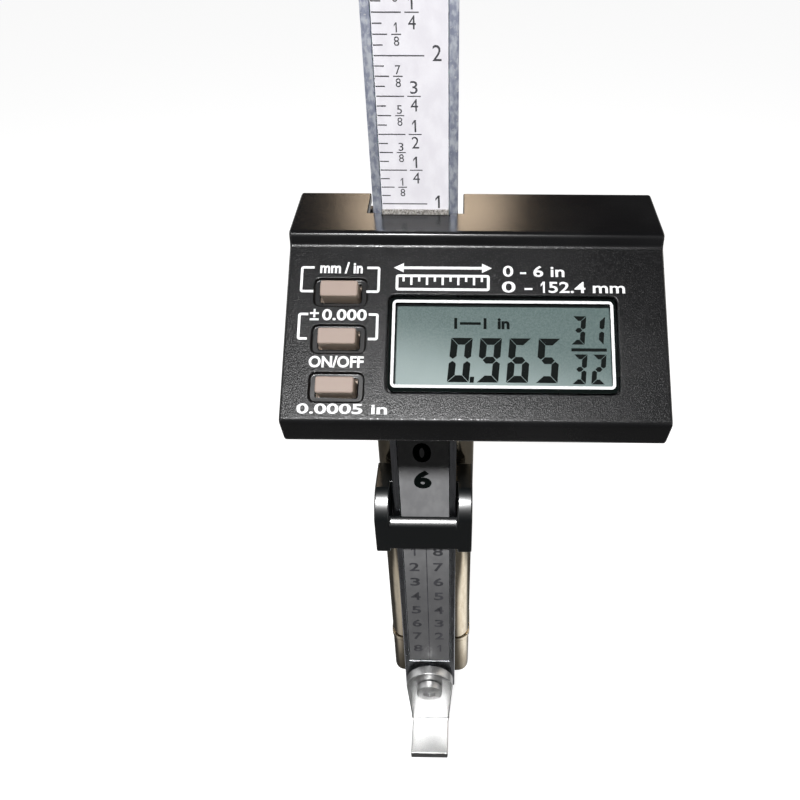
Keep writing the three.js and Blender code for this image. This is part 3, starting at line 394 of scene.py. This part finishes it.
FINE = (0.2, 0.2, 0.2)
FINISHES = {
    "housing_black": make_housing_black(),
    "window_clear": make_window_clear(),
    "screen_grey_green": make_screen_grey_green(),
    "white_plastic": make_plain("white_plastic", (0.62, 0.62, 0.58), (0.72, 0.72, 0.68), 0.55,
                                FINE, 0.02),
    "button_taupe": make_button_taupe(),
    "board_green": make_plain("board_green", (0.02, 0.12, 0.05), (0.04, 0.18, 0.08), 0.4,
                              (0.5, 0.5, 0.5), 0.02),
    "chip_black": make_plain("chip_black", (0.012, 0.012, 0.013), (0.025, 0.025, 0.026), 0.45,
                             FINE, 0.02),
    "rubber_grey": make_plain("rubber_grey", (0.035, 0.035, 0.038), (0.06, 0.06, 0.064), 0.8,
                              FINE, 0.04),
    "felt_grey": make_felt_grey(),
    "beam_steel": make_beam_steel(),
    "zinc_steel": make_brushed("zinc_steel", (0.5, 0.5, 0.5), (0.66, 0.66, 0.655), 0.36,
                               (0.2, 0.2, 0.9), 0.015),
    "dark_steel": make_brushed("dark_steel", (0.05, 0.052, 0.058), (0.11, 0.112, 0.12), 0.36,
                               (4, 0.15, 0.15), 0.015),
    "plated_bright": make_plated_bright(),
    "brass": make_brushed("brass", (0.5, 0.33, 0.11), (0.68, 0.48, 0.19), 0.3, (0.2, 0.2, 3), 0.015),
    "flex_amber": make_plain("flex_amber", (0.33, 0.12, 0.02), (0.46, 0.19, 0.04), 0.3,
                             (0.4, 0.4, 0.4), 0.01),
    "block_gloss_black": make_block_gloss_black(),
    "label_pale": make_label("label_pale", (0.85, 0.83, 0.88), (0.93, 0.915, 0.96), 2.2, 0.7),
    "label_grey": make_label("label_grey", (0.28, 0.28, 0.288), (0.35, 0.35, 0.357), 2.5, 0.3),
    "nylon": make_plain("nylon", (0.72, 0.69, 0.62), (0.82, 0.79, 0.72), 0.5, FINE, 0.02),
}
WHITE_INK = make_white_ink()
LCD_INK = make_lcd_ink()
GREY_INK = make_plain("grey_ink", (0.045, 0.045, 0.05), (0.085, 0.085, 0.095), 0.4,
                      (0.3, 0.3, 0.3), 0.005)


# Modelling tools

SHARP_EDGE = 40               # degrees, past which an edge is rounded and stays sharp in shading
SAME_PLANE = 1                # degrees, under which neighbouring faces merge
OVERRUN = 1                   # how far a cutter or a joined block passes the face that it meets


def let_go():
    if bpy.context.mode != "OBJECT":
        bpy.ops.object.mode_set(mode="OBJECT")
    bpy.ops.object.select_all(action="DESELECT")


def hold(piece):
    let_go()
    piece.select_set(True)
    bpy.context.view_layer.objects.active = piece


def named(name):
    """Names the piece that an operator has just made, and puts its place in its mesh."""
    piece = bpy.context.object
    piece.name = piece.data.name = name
    bpy.ops.object.transform_apply()
    return piece


def block(name, low, high):
    """A block between two corners, in millimetres."""
    let_go()
    low, high = Vector(low), Vector(high)
    bpy.ops.mesh.primitive_cube_add(size=1, location=(low + high) / 2 * MM, scale=(high - low) * MM)
    piece = named(name)
    middle = (low + high) / 2 * MM
    for corner in piece.data.vertices:       # exactly on the sizes, so that flush faces merge
        corner.co = [(high if corner.co[axis] > middle[axis] else low)[axis] * MM for axis in range(3)]
    return piece


def pick(piece, kind, wanted):
    """Enters edit mode with only the corners, edges or faces selected that a test picks out."""
    hold(piece)
    bpy.ops.object.mode_set(mode="EDIT")
    bpy.context.tool_settings.mesh_select_mode = tuple(kind == each for each in ("verts", "edges", "faces"))
    bpy.ops.mesh.select_all(action="DESELECT")
    shape = bmesh.from_edit_mesh(piece.data)
    for part in getattr(shape, kind):
        points = [part.co] if kind == "verts" else [corner.co for corner in part.verts]
        middle = sum(points, Vector()) / len(points) / MM
        if wanted(part, middle):
            part.select_set(True)
    bmesh.update_edit_mesh(piece.data)


def near(value, target, slack=0.02):
    return abs(value - target) < slack


def modify(piece, kind, **settings):
    hold(piece)
    modifier = piece.modifiers.new(kind.lower(), kind)
    for setting, value in settings.items():
        setattr(modifier, setting, value)
    bpy.ops.object.modifier_apply(modifier=modifier.name)


def cut(piece, *cutters):
    """Cuts other pieces away from a piece and removes them."""
    for cutter in cutters:
        modify(piece, "BOOLEAN", operation="DIFFERENCE", solver="EXACT", object=cutter)
        bpy.data.objects.remove(cutter)


def smooth(piece, angle=SHARP_EDGE):
    hold(piece)
    bpy.ops.object.shade_smooth_by_angle(angle=math.radians(angle))
    modify(piece, "WEIGHTED_NORMAL", keep_sharp=True, weight=80)


def ease(piece, width, steps=3):
    """Rounds a piece's sharp edges and smooths its shading."""
    modify(piece, "BEVEL", width=width * MM, segments=steps, limit_method="ANGLE",
           angle_limit=math.radians(SHARP_EDGE), use_clamp_overlap=False)
    smooth(piece)


def twin(piece, name, place=None):
    """A copy of a piece with its own mesh, moved by a matrix."""
    made = bpy.data.objects.new(name, piece.data.copy())
    made.data.name = name
    bpy.context.scene.collection.objects.link(made)
    if place is not None:
        made.data.transform(place)
    return made


def join(name, pieces):
    let_go()
    for piece in pieces:
        piece.select_set(True)
    bpy.context.view_layer.objects.active = pieces[0]
    if len(pieces) > 1:
        bpy.ops.object.join()
    pieces[0].name = pieces[0].data.name = name
    return pieces[0]


def moved(piece, place):
    piece.data.transform(place)
    piece.data.update()
    return piece


def settle(piece, body, slot, *nodes, finish=None):
    """Gives a finished piece its material, its slot's finish unless another is given, and the body that it
    rides on, and hides the nodes it stands for.
    """
    let_go()
    piece.data.materials.clear()
    piece.data.materials.append((finish or FINISHES[slot]).material)
    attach(piece, body)
    if nodes:
        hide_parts(*nodes)
    return piece


def body_of(node):
    return frame["nodes"][node]["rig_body"]


def slot_of(node):
    return frame["nodes"][node].data.materials[0].name.split(".")[0]


# Copies of CAD nodes, with the edges that handling and moulding round

def worn(node, name, width):
    """A copy of a node's mesh, merged to whole faces, whose edges are rounded where a width is given."""
    source = frame["nodes"][node]
    piece = bpy.data.objects.new(name, source.data.copy())
    piece.data.name = name
    bpy.context.scene.collection.objects.link(piece)
    hold(piece)
    bpy.ops.mesh.customdata_custom_splitnormals_clear()
    bpy.ops.object.mode_set(mode="EDIT")
    bpy.ops.mesh.select_all(action="SELECT")
    bpy.ops.mesh.remove_doubles(threshold=0.001 * MM)
    bpy.ops.mesh.dissolve_limited(angle_limit=math.radians(SAME_PLANE))
    bpy.ops.object.mode_set(mode="OBJECT")
    if width:
        ease(piece, width)
    else:
        smooth(piece)
    return settle(piece, body_of(node), slot_of(node), node)


WORN = [                      # CAD node, its copy's name, and how wide its edges are rounded
    ("front_housing", "housing", 0.24),
    ("rear_plate", "back_plate", 0.18),
    ("units_button", "button_units", 0),
    ("zero_button", "button_zero", 0),
    ("power_button", "button_power", 0),
    ("battery_cover", "cell_cover", 0.12),
    ("beam", "beam_bar", 0.18),
    ("foot", "swing_foot", 0.3),
    ("foot_pad", "foot_sole", 0.25),
    ("foot_pivot_nut", "pivot_nut", 0.2),
    ("pivot_washer", "pivot_ring", 0.1),
    ("base_bracket", "bracket", 0.25),
]


# Pieces modelled anew

def model_guide_block():
    """The block: a slot for the beam, open at the front but for a bar across it."""
    left, right, front, back, bottom, top = -13.0, 12.3, -29.5, -13.6, 60.9, 79.0
    slot_left, slot_right, slot_front, slot_back = -9.2, 8.5, -27.0, -21.0
    bar_bottom, bar_top = 62.3, 72.5
    crown, lower_round, bar_crown = 6.5, 0.8, 2.1
    flatness = 0.36           # a crown's profile, where 0.5 is round
    pad_low, pad_high = (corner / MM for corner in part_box("guide_pad"))
    room = Vector((0.06, 0.06, 0.06))
    piece = block("block", (left, front, bottom), (right, back, top))
    pick(piece, "edges", lambda edge, middle: near(middle.y, front) and near(middle.z, top))
    bpy.ops.mesh.bevel(offset=crown * MM, segments=18, profile=flatness, affect="EDGES")
    pick(piece, "edges", lambda edge, middle: near(middle.y, front) and near(middle.z, bottom))
    bpy.ops.mesh.bevel(offset=lower_round * MM, segments=5, affect="EDGES")
    let_go()
    cut(piece,
        block("cutter", (slot_left, slot_front, bottom - OVERRUN), (slot_right, slot_back, top + OVERRUN)),
        block("cutter", (slot_left, front - OVERRUN, bottom - OVERRUN),
              (slot_right, slot_front + OVERRUN, top + OVERRUN)),
        block("cutter", pad_low - room, pad_high + room))
    bar = block("bar", (slot_left - OVERRUN, front, bar_bottom), (slot_right + OVERRUN, slot_front, bar_top))
    pick(bar, "edges", lambda edge, middle: near(middle.y, front) and near(middle.z, bar_top))
    bpy.ops.mesh.bevel(offset=bar_crown * MM, segments=10, profile=flatness, affect="EDGES")
    let_go()
    modify(piece, "BOOLEAN", operation="UNION", solver="EXACT", object=bar)
    bpy.data.objects.remove(bar)
    pick(piece, "faces", lambda face, middle: True)
    bpy.ops.mesh.dissolve_limited(angle_limit=math.radians(SAME_PLANE))
    let_go()
    ease(piece, 0.4, 4)
    return settle(piece, "base", "block_gloss_black", "guide_block")


def model_rail():
    """The rail: a channel of folded sheet, open behind and at both ends."""
    left, right, front, back, bottom, top = -13.35, 12.65, -13.3, -3.3, -1.7, 96.0
    corner, wall = 4.5, 2.0
    piece = block("channel", (left, front, bottom), (right, back, top))
    pick(piece, "edges", lambda edge, middle: near(middle.y, front) and not left + 1 < middle.x < right - 1)
    bpy.ops.mesh.bevel(offset=corner * MM, segments=14, affect="EDGES")
    pick(piece, "faces", lambda face, middle: face.normal.y > 0.9 or abs(face.normal.z) > 0.9)
    bpy.ops.mesh.delete(type="FACE")
    let_go()
    modify(piece, "SOLIDIFY", thickness=wall * MM, offset=-1, use_even_offset=True)
    ease(piece, 0.3, 3)
    return settle(piece, "base", "plated_bright", "rail")


def plate(name, corners):
    """A printed shape on the XY plane; its corners are in millimetres, and run anticlockwise."""
    let_go()
    bpy.ops.mesh.primitive_circle_add(vertices=len(corners), radius=MM, fill_type="NGON")
    piece = named(name)
    pick(piece, "verts", lambda corner, middle: True)
    shape = bmesh.from_edit_mesh(piece.data)
    for corner, (x, y) in zip(shape.verts, corners):
        corner.co = Vector((x, y, 0)) * MM
    bmesh.update_edit_mesh(piece.data)
    bpy.ops.mesh.select_all(action="SELECT")
    bpy.ops.mesh.extrude_region_move(TRANSFORM_OT_translate={"value": (0, 0, PRINT * MM)})
    bpy.ops.mesh.select_all(action="SELECT")
    bpy.ops.mesh.normals_make_consistent(inside=False)
    let_go()
    return piece


def one(name, left, bottom, height, thick):
    """A figure one with its flag, which the built-in letters draw as a plain stroke."""
    reach = 0.34 * height
    flag_drop = 0.72 * reach
    flag_thick = 1.25 * thick
    top = bottom + height
    right = left + reach
    return plate(name, [(right - thick, bottom), (right, bottom), (right, top), (right - thick, top),
                        (left, top - flag_drop), (left, top - flag_drop - flag_thick),
                        (right - thick, top - flag_thick)])


def segment_shapes(width, height, thick):
    """The corners of a digit's seven bars, each running anticlockwise."""
    gap, tip = 0.06, 0.2
    middle = height / 2
    half = thick / 2
    inner_left, inner_right = thick + gap, width - thick - gap
    top = [(width - gap, height), (gap, height), (inner_left, height - thick), (inner_right, height - thick)]
    side = [(0, height - gap), (0, middle + half), (half, middle + tip),
            (thick, middle + half + gap), (thick, height - thick - gap)]
    level = [(half + 2 * gap, middle), (inner_left, middle - half), (inner_right, middle - half),
             (width - half - 2 * gap, middle), (inner_right, middle + half), (inner_left, middle + half)]

    def across(shape):
        return [(width - x, y) for x, y in reversed(shape)]

    def down(shape):
        return [(x, height - y) for x, y in reversed(shape)]

    return {"a": top, "b": across(side), "c": across(down(side)), "d": down(top),
            "e": down(side), "f": side, "g": level}


def model_socket_screw(head, head_height, shank, length):
    """A socket-head screw standing on the origin, its head up: two radii and two lengths."""
    rim, crown, hexagon = 0.3, 0.12, 0.52 * head
    let_go()
    bpy.ops.mesh.primitive_cylinder_add(vertices=48, radius=head * MM, depth=head_height * MM,
                                        location=(0, 0, head_height / 2 * MM))
    piece = named("pattern")
    pick(piece, "faces", lambda face, middle: face.normal.z > 0.9)
    bpy.ops.mesh.inset(thickness=rim * MM)
    bpy.ops.transform.translate(value=(0, 0, crown * MM))
    pick(piece, "faces", lambda face, middle: face.normal.z < -0.9)
    bpy.ops.mesh.inset(thickness=(head - shank) * MM)
    bpy.ops.mesh.extrude_region_move(TRANSFORM_OT_translate={"value": (0, 0, -length * MM)})
    let_go()
    bpy.ops.mesh.primitive_cylinder_add(vertices=6, radius=hexagon * MM, depth=head_height * MM,
                                        location=(0, 0, head_height * MM))
    cut(piece, named("cutter"))
    ease(piece, 0.12)
    return piece


def model_countersunk_screw(head, depth, shank, length):
    """A flat-head screw with a cross recess, its head's face at the origin and facing up."""
    arm, half, recess = 0.62 * head, 0.32, 0.9
    let_go()
    bpy.ops.mesh.primitive_cone_add(vertices=48, radius1=shank * MM, radius2=head * MM,
                                    depth=depth * MM, location=(0, 0, -depth / 2 * MM))
    piece = named("pattern")
    pick(piece, "faces", lambda face, middle: face.normal.z < -0.9)
    bpy.ops.mesh.extrude_region_move(TRANSFORM_OT_translate={"value": (0, 0, -(length - depth) * MM)})
    cut(piece, block("cutter", (-arm, -half, -recess), (arm, half, OVERRUN)),
        block("cutter", (-half, -arm, -recess), (half, arm, OVERRUN)))
    ease(piece, 0.07, 2)
    return piece


def place_screws(pattern, turn, seat_depth, names):
    """Copies of a pattern for CAD screws; each seat lies that deep under its node's outer end."""
    for node, name in names.items():
        low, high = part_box(node)
        outer = low.y if turn is OUT_OF_FRONT else high.y
        head_end = Matrix.Translation(((low.x + high.x) / 2, outer, (low.z + high.z) / 2))
        piece = twin(pattern, name, head_end @ turn @ Matrix.Translation((0, 0, -seat_depth * MM)))
        settle(piece, body_of(node), slot_of(node), node)
    bpy.data.objects.remove(pattern)


def model_screws():
    place_screws(model_socket_screw(3, 2.05, 1.5, 8.5), OUT_OF_FRONT, 2.2,
                 {"rail_screw_1": "rail_bolt_lower", "rail_screw_2": "rail_bolt_upper"})
    place_screws(model_socket_screw(3.4, 2.25, 1.8, 6), OUT_OF_BACK, 2.4,
                 {"block_screw_1": "block_bolt_lower", "block_screw_2": "block_bolt_upper"})
    place_screws(model_socket_screw(4, 2.05, 1.95, 10.5), OUT_OF_FRONT, 2.2,
                 {"foot_pivot_screw": "pivot_bolt"})
    place_screws(model_socket_screw(3, 2.55, 1.45, 3), OUT_OF_FRONT, 2.7, {"stop_screw": "stop_bolt"})
    place_screws(model_countersunk_screw(2.6, 1.4, 1.3, 8.5), OUT_OF_BACK, 0,
                 {f"rear_plate_screw_{count}": f"plate_screw_{count}" for count in range(1, 5)})


def model_felt(node, name, seed):
    """A strip of felt: a soft-edged pad, with stray fibres on the end that shows."""
    fibre_count = 340
    most_lean = 1.3           # radians, either way
    root_depth = 0.12         # a fibre's root under the felt's end
    give = 0.12               # how far in a corner is drawn
    margin_x, margin_y = 0.3, 0.2
    low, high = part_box(node)
    piece = block(name, low / MM, high / MM)
    pick(piece, "faces", lambda face, middle: True)
    bpy.ops.mesh.subdivide(number_cuts=5)
    let_go()
    modify(piece, "BEVEL", width=0.15 * MM, segments=2, limit_method="ANGLE")
    draw = random.Random(seed)
    pick(piece, "verts", lambda corner, middle: True)
    shape = bmesh.from_edit_mesh(piece.data)
    for corner in shape.verts:
        inwards = ((low + high) / 2 - corner.co).normalized()
        corner.co += inwards * draw.random() * give * MM
    bmesh.update_edit_mesh(piece.data)
    let_go()
    bpy.ops.mesh.primitive_cone_add(vertices=5, radius1=0.035 * MM, radius2=0.008 * MM, depth=0.5 * MM)
    fibre = named("fibre")
    fibres = []
    outer = 1 if node.endswith("top") else -1
    end_z = high.z if outer > 0 else low.z
    for _ in range(fibre_count):
        forward = Matrix.Rotation(draw.uniform(-most_lean, most_lean), 4, "X")
        sideways = Matrix.Rotation(draw.uniform(-most_lean, most_lean), 4, "Y")
        root = Vector((draw.uniform(low.x + margin_x * MM, high.x - margin_x * MM),
                       draw.uniform(low.y + margin_y * MM, high.y - margin_y * MM),
                       end_z - outer * root_depth * MM))
        fibres.append(twin(fibre, "fibre_copy", Matrix.Translation(root) @ forward @ sideways))
    bpy.data.objects.remove(fibre)
    piece = join(name, [piece, *fibres])
    smooth(piece, 60)
    return settle(piece, "head", "felt_grey", node)


# Printed marks

def ring(name, left, right, top, bottom, line, corner):
    """A printed line round a rounded rectangle, flat on the XY plane, in millimetres."""
    let_go()
    bpy.ops.mesh.primitive_plane_add(size=1, location=((left + right) / 2 * MM, (top + bottom) / 2 * MM, 0))
    piece = bpy.context.object
    piece.scale = ((right - left) * MM, (top - bottom) * MM, 1)
    piece = named(name)
    pick(piece, "verts", lambda corner_point, middle: True)
    bpy.ops.mesh.bevel(offset=corner * MM, segments=8, affect="VERTICES")
    bpy.ops.mesh.select_all(action="SELECT")
    bpy.ops.mesh.inset(thickness=line * MM)
    bpy.ops.mesh.delete(type="FACE")
    bpy.ops.mesh.select_all(action="SELECT")
    bpy.ops.mesh.extrude_region_move(TRANSFORM_OT_translate={"value": (0, 0, PRINT * MM)})
    bpy.ops.mesh.select_all(action="SELECT")
    bpy.ops.mesh.normals_make_consistent(inside=False)
    let_go()
    return piece


def bars(name, places):
    """Printed bars, flat on the XY plane: each is left, right, bottom and top, in millimetres."""
    let_go()
    bpy.ops.mesh.primitive_cube_add(size=1)
    piece = named(name)
    bpy.ops.object.mode_set(mode="EDIT")
    bpy.ops.mesh.select_all(action="SELECT")
    bpy.ops.mesh.delete(type="VERT")
    for left, right, bottom, top in places:
        bpy.ops.mesh.primitive_cube_add(
            size=1, location=((left + right) / 2 * MM, (bottom + top) / 2 * MM, PRINT / 2 * MM),
            scale=((right - left) * MM, (top - bottom) * MM, PRINT * MM))
    let_go()
    return piece


def lettering(name, words, left, right, bottom, top, bold=0.0):
    """Words fitted into a box on the XY plane, in millimetres."""
    let_go()
    bpy.ops.object.text_add()
    text = bpy.context.object
    text.data.body = words
    text.data.size = 1
    text.data.offset = bold
    text.data.resolution_u = 4
    text.data.extrude = 0.5
    bpy.ops.object.convert(target="MESH")
    piece = named(name)
    points = [corner.co for corner in piece.data.vertices]
    low = Vector((min(p.x for p in points), min(p.y for p in points), min(p.z for p in points)))
    high = Vector((max(p.x for p in points), max(p.y for p in points), max(p.z for p in points)))
    size = high - low
    wanted = Vector((right - left, top - bottom, PRINT)) * MM
    fit = Matrix.Diagonal((wanted.x / size.x, wanted.y / size.y, wanted.z / size.z, 1))
    return moved(piece, Matrix.Translation((left * MM, bottom * MM, 0)) @ fit @ Matrix.Translation(-low))


LIT = {
    "0": "abcdef", "1": "bc", "2": "abdeg", "3": "abcdg", "5": "acdfg", "6": "acdefg", "9": "abcdfg",
}


def digits(name, text, left, bottom, width, height, pitch, thick):
    """Seven-segment digits on the XY plane, in millimetres, leaning a little to the right."""
    slant = 0.085
    shapes = segment_shapes(width, height, thick)
    return join(name, [
        plate("lit", [(left + index * pitch + x + slant * y, bottom + y) for x, y in shapes[bar]])
        for index, digit in enumerate(text) for bar in LIT[digit]])


def on_face(depth):
    """From millimetres across and up the face's own plane to its place in the readout."""
    return FACE @ Matrix.Translation((0, 0, -(depth + INK_SINK) * MM))


def on_label():
    return LABEL @ Matrix.Translation((0, 0, -INK_SINK * MM))


def print_screen():
    pieces = [
        digits("lcd_number", "0965", 28.36, -24.99, 3.9, 8.32, 5.29, 1.28),
        digits("lcd_upper", "31", 50.75, -17.75, 2.42, 5.42, 3.42, 0.9),
        digits("lcd_lower", "32", 50.75, -25.15, 2.42, 5.55, 3.42, 0.9),
        bars("lcd_line", [(50.75, 57.15, -19.04, -18.44)]),
        plate("lcd_point", [(32.4, -25.05), (33.16, -25.05), (33.26, -23.95), (32.5, -23.95)]),
        lettering("lcd_unit", "in", 37.45, 39.65, -14.96, -12.86, 0.04),
        bars("lcd_mark", [(29.55, 30.1, -14.96, -12.86), (34.9, 35.45, -14.96, -12.86),
                          (30.6, 34.4, -14.16, -13.66)]),
    ]
    piece = moved(join("lcd_digits", pieces), on_face(SCREEN_DEPTH))
    settle(piece, "head", "chip_black", finish=LCD_INK)


def print_face():
    line = moved(ring("window_line", 18.42, 58.08, -10.28, -26.62, 0.52, 0.85), on_face(LENS_DEPTH))
    settle(line, "head", "white_plastic", finish=WHITE_INK)
    border = moved(ring("window_border", 17.96, 58.44, -9.86, -27.34, 0.8, 0.9),
                   on_face(LENS_DEPTH + INK_SINK / 2))
    settle(border, "head", "chip_black", finish=LCD_INK)

    pieces = []
    for name, top, bottom, open_left, open_right in [("frame_a", -4.15, -9.2, 4.05, 13.65),
                                                     ("frame_b", -13.1, -18.15, 3.4, 14.25)]:
        frame_line = ring(name, 1.6, 16.05, top, bottom, 0.46, 0.5)
        cut(frame_line, block("cutter", (open_left, bottom - 1, -1), (open_right, top + 1, 1)))
        pieces.append(frame_line)
    pieces += [
        lettering("legend_units", "mm / in", 5.1, 12.85, -5.5, -3.3, 0.03),
        lettering("legend_zero_digits", "0.000", 5.9, 13.9, -14.5, -12.35, 0.022),
        bars("legend_zero_sign", [(3.7, 5.3, -14.5, -14.14), (3.7, 5.3, -13.33, -12.97),
                                  (4.32, 4.68, -13.95, -12.35)]),
        lettering("legend_power", "ON/OFF", 3.97, 13.68, -23.25, -21.1, 0.03),
        lettering("legend_step", "0.0005 in", 2.3, 18.1, -31.6, -29.75, 0.022),
        lettering("range_short", "0 - 6 in", 38.3, 49.4, -5.9, -3.75, 0.016),
        lettering("range_long_start", "0 -", 38.1, 43.6, -8.95, -6.8, 0.016),
        one("range_long_one", 45.1, -8.95, 2.15, 0.34),
        lettering("range_long_end", "52.4 mm", 46.5, 60.2, -8.95, -6.8, 0.016),
        ring("rule_outline", 18.9, 35.9, -5.6, -8.7, 0.5, 0.5),
        plate("arrow_left", [(18.5, -4.3), (20.3, -5.2), (20.3, -3.4)]),
        plate("arrow_right", [(36.3, -4.3), (34.5, -3.4), (34.5, -5.2)]),
    ]
    arrow_shaft = (20.2, 34.6, -4.56, -4.04)
    rule_left, rule_length, rule_top, spaces = 18.9, 17.0, -5.9, 12
    ticks = [arrow_shaft]
    for index in range(1, spaces):
        x = rule_left + index * rule_length / spaces
        reach = 1.7 if index % 2 == 0 else 1.05
        ticks.append((x - 0.2, x + 0.2, rule_top - reach, rule_top))
    pieces.append(bars("rule_ticks", ticks))
    settle(moved(join("face_print", pieces), on_face(0)), "head", "white_plastic", finish=WHITE_INK)


def print_ruler():
    lengths = {16: 8.5, 8: 4.9, 4: 4.9, 2: 2.5, 1: 1.7}
    marks = []
    for step in range(16 * RULER_INCHES + 1):
        reach = next(length for every, length in lengths.items() if step % every == 0)
        height = RULER_ZERO + step * INCH / 16
        marks.append((LABEL_LEFT + 0.1, LABEL_LEFT + reach, height - 0.1, height + 0.1))
    made = []
    patterns = {"1": one("glyph_1", -0.24, 0, 1, 0.14)}

    def glyph(character, x, bottom, height):
        if character not in patterns:
            patterns[character] = lettering("glyph_" + character, character, -0.31, 0.31, 0, 1)
        place = Matrix.Translation((x * MM, bottom * MM, 0)) @ Matrix.Diagonal((height, height, 1, 1))
        made.append(twin(patterns[character], "glyph_copy", place))

    for eighth in range(1, 8 * RULER_INCHES):
        if eighth % 8 == 0:
            continue
        over, under = eighth % 8, 8
        while over % 2 == 0:
            over, under = over // 2, under // 2
        height = RULER_ZERO + eighth * INCH / 8
        small = under == 8
        x = LABEL_LEFT + (4.0 if small else 6.6)
        half_bar, tall, gap = (0.8, 1.42, 0.3) if small else (1.15, 2.05, 0.4)
        marks.append((x - half_bar, x + half_bar, height - 0.09, height + 0.09))
        glyph(str(over), x, height + gap, tall)
        glyph(str(under), x, height - gap - tall, tall)
    for inch in range(RULER_INCHES + 1):
        glyph(str(inch), LABEL_LEFT + 10.6, RULER_ZERO + inch * INCH - 0.8, 2.43)
    for pattern in patterns.values():
        bpy.data.objects.remove(pattern)
    piece = moved(join("ruler_marks", [bars("ticks", marks), *made]), on_label())
    settle(piece, "beam", "label_pale", finish=GREY_INK)


def print_lower_label():
    top_row, row_pitch, tall, rows = 55.2, 6.6, 3.6, 8
    made = [bars("divider", [(-0.13, 0.13, 4.6, 62.0)])]
    large = join("large_marks", [
        lettering("large_six", "6", -2.6, 1.9, 81.2, 87.5, 0.05),
        lettering("large_nought", "0", -2.6, 1.9, 90.2, 96.5, 0.05),
    ])
    settle(moved(large, on_label()), "beam", "label_grey", finish=LCD_INK)
    for column, x in ((0, -3.5), (1, 3.2)):
        for row in range(rows):
            number = str(row + 1 if column == 0 else rows - row)
            bottom = top_row - row * row_pitch
            if number == "1":
                made.append(one("number", x - 0.7, bottom, tall, 0.5))
            else:
                made.append(lettering("number", number, x - 1.4, x + 1.4, bottom, bottom + tall, 0.02))
    piece = moved(join("lower_marks", made), on_label())
    settle(piece, "beam", "label_grey", finish=GREY_INK)


# Camera, lights and surroundings

CAMERA_PLACE = (8.62, -153.47, 207.86)
CAMERA_PITCH = 0.66837        # radians, down from level
CAMERA_TURN = 0.01655         # radians, to the left
SENSOR_WIDTH = 36
FOCAL_LENGTH = 31.745
PICTURE_SHIFT = (-0.0625, 0.01125)
CLIP_NEAR, CLIP_FAR = 0.005, 20


def set_camera():
    data = bpy.data.cameras.new("photo_camera")
    camera = bpy.data.objects.new("photo_camera", data)
    bpy.context.scene.collection.objects.link(camera)
    camera.location = Vector(CAMERA_PLACE) * MM
    camera.rotation_euler = (math.pi / 2 - CAMERA_PITCH, 0, CAMERA_TURN)
    data.sensor_width = SENSOR_WIDTH
    data.lens = FOCAL_LENGTH
    data.shift_x, data.shift_y = PICTURE_SHIFT
    data.clip_start, data.clip_end = CLIP_NEAR, CLIP_FAR
    bpy.context.scene.camera = camera


def add_light(name, shape, place, target, size, watts, colour=(1, 1, 1)):
    data = bpy.data.lights.new(name, "AREA")
    data.shape = shape
    data.size, data.size_y = size[0] * MM, size[1] * MM
    data.energy = watts
    data.color = colour
    light = bpy.data.objects.new(name, data)
    bpy.context.scene.collection.objects.link(light)
    light.location = Vector(place) * MM
    aim = Vector(target) * MM - light.location
    light.rotation_euler = aim.to_track_quat("-Z", "Y").to_euler()


def set_lights():
    add_light("flash", "RECTANGLE", (-65, -520, 684), (0, -30, 130), (76, 50), 7.4)
    add_light("warm_back", "ELLIPSE", (-20, 370, 450), (5, -26, 150), (140, 90), 0.38, (1, 0.78, 0.56))
    add_light("soft_left", "ELLIPSE", (-500, 150, 420), (0, -20, 120), (320, 320), 0.7)
    add_light("soft_right", "ELLIPSE", (520, 180, 420), (0, -20, 120), (320, 320), 0.7, (1, 0.93, 0.84))


def set_world():
    """White for the camera, white walls at the sides under a dark ceiling in mirrors, and a dim fill."""
    world = bpy.data.worlds.new("studio")
    bpy.context.scene.world = world
    world.use_nodes = True
    graph = Graph(world.node_tree)
    direction = graph.node("ShaderNodeTexCoord").outputs["Generated"]
    parts = graph.node("ShaderNodeSeparateXYZ", None, {0: direction})
    across = abs(Value(graph, parts.outputs["X"]))
    height = Value(graph, parts.outputs["Z"])
    fill = 0.02
    walls = 0.025 + across.rise(0.2, 0.7) * (1 - height.rise(0.2, 0.6)) * 0.9
    shown = graph.ray("Camera") + graph.ray("Transmission")
    strength = fill + shown * (1 - fill) + graph.ray("Glossy") * (walls - fill)
    background = world.node_tree.nodes["Background"]
    graph.set(background.inputs["Color"], (1, 1, 1))
    graph.set(background.inputs["Strength"], strength)


def add_floor():
    """A pale floor that glows for the camera; mirrors see it dark but for patches beside the readout."""
    floor_size = 8            # metres
    let_go()
    bpy.ops.mesh.primitive_plane_add(size=floor_size, location=(0, 0, cad_box[0].z))
    floor = named("floor")
    finish = Finish("floor_pale", (0.3, 0.3, 0.3), 0.9, Specular_IOR_Level=0.0, Emission_Strength=1.0)
    across, back = finish.along((1, 0, 0)), finish.along((0, 1, 0))

    def patch(x, y, reach):
        return (1 - abs(across - x).rise(0.4 * reach, reach)) * (1 - abs(back - y).rise(0.4 * reach, reach))

    seen = finish.ray("Camera")
    beside = patch(-40, -38, 28) * 0.6 + patch(43, -26, 34)
    mirrored = finish.ray("Glossy") * (0.03 + back.rise(60, 160) * 0.4 + beside)
    finish.paint(Base_Color=finish.between(seen, (0.04, 0.04, 0.04), (0.3, 0.3, 0.3)),
                 Emission_Color=(seen + finish.ray("Transmission")) * 0.93 + mirrored)
    floor.data.materials.append(finish.material)


for cad_node in frame["nodes"].values():
    for index, material in enumerate(cad_node.data.materials):
        cad_node.material_slots[index].material = FINISHES[material.name.split(".")[0]].material

set_camera()
set_lights()
set_world()
add_floor()

for cad_name, piece_name, edge in WORN:
    worn(cad_name, piece_name, edge)
model_guide_block()
model_rail()
model_screws()
model_felt("felt_wiper_top", "upper_felt", 3)
model_felt("felt_wiper_bottom", "lower_felt", 5)
print_screen()
print_face()
print_ruler()
print_lower_label()

bpy.context.scene.view_settings.view_transform = "Standard"
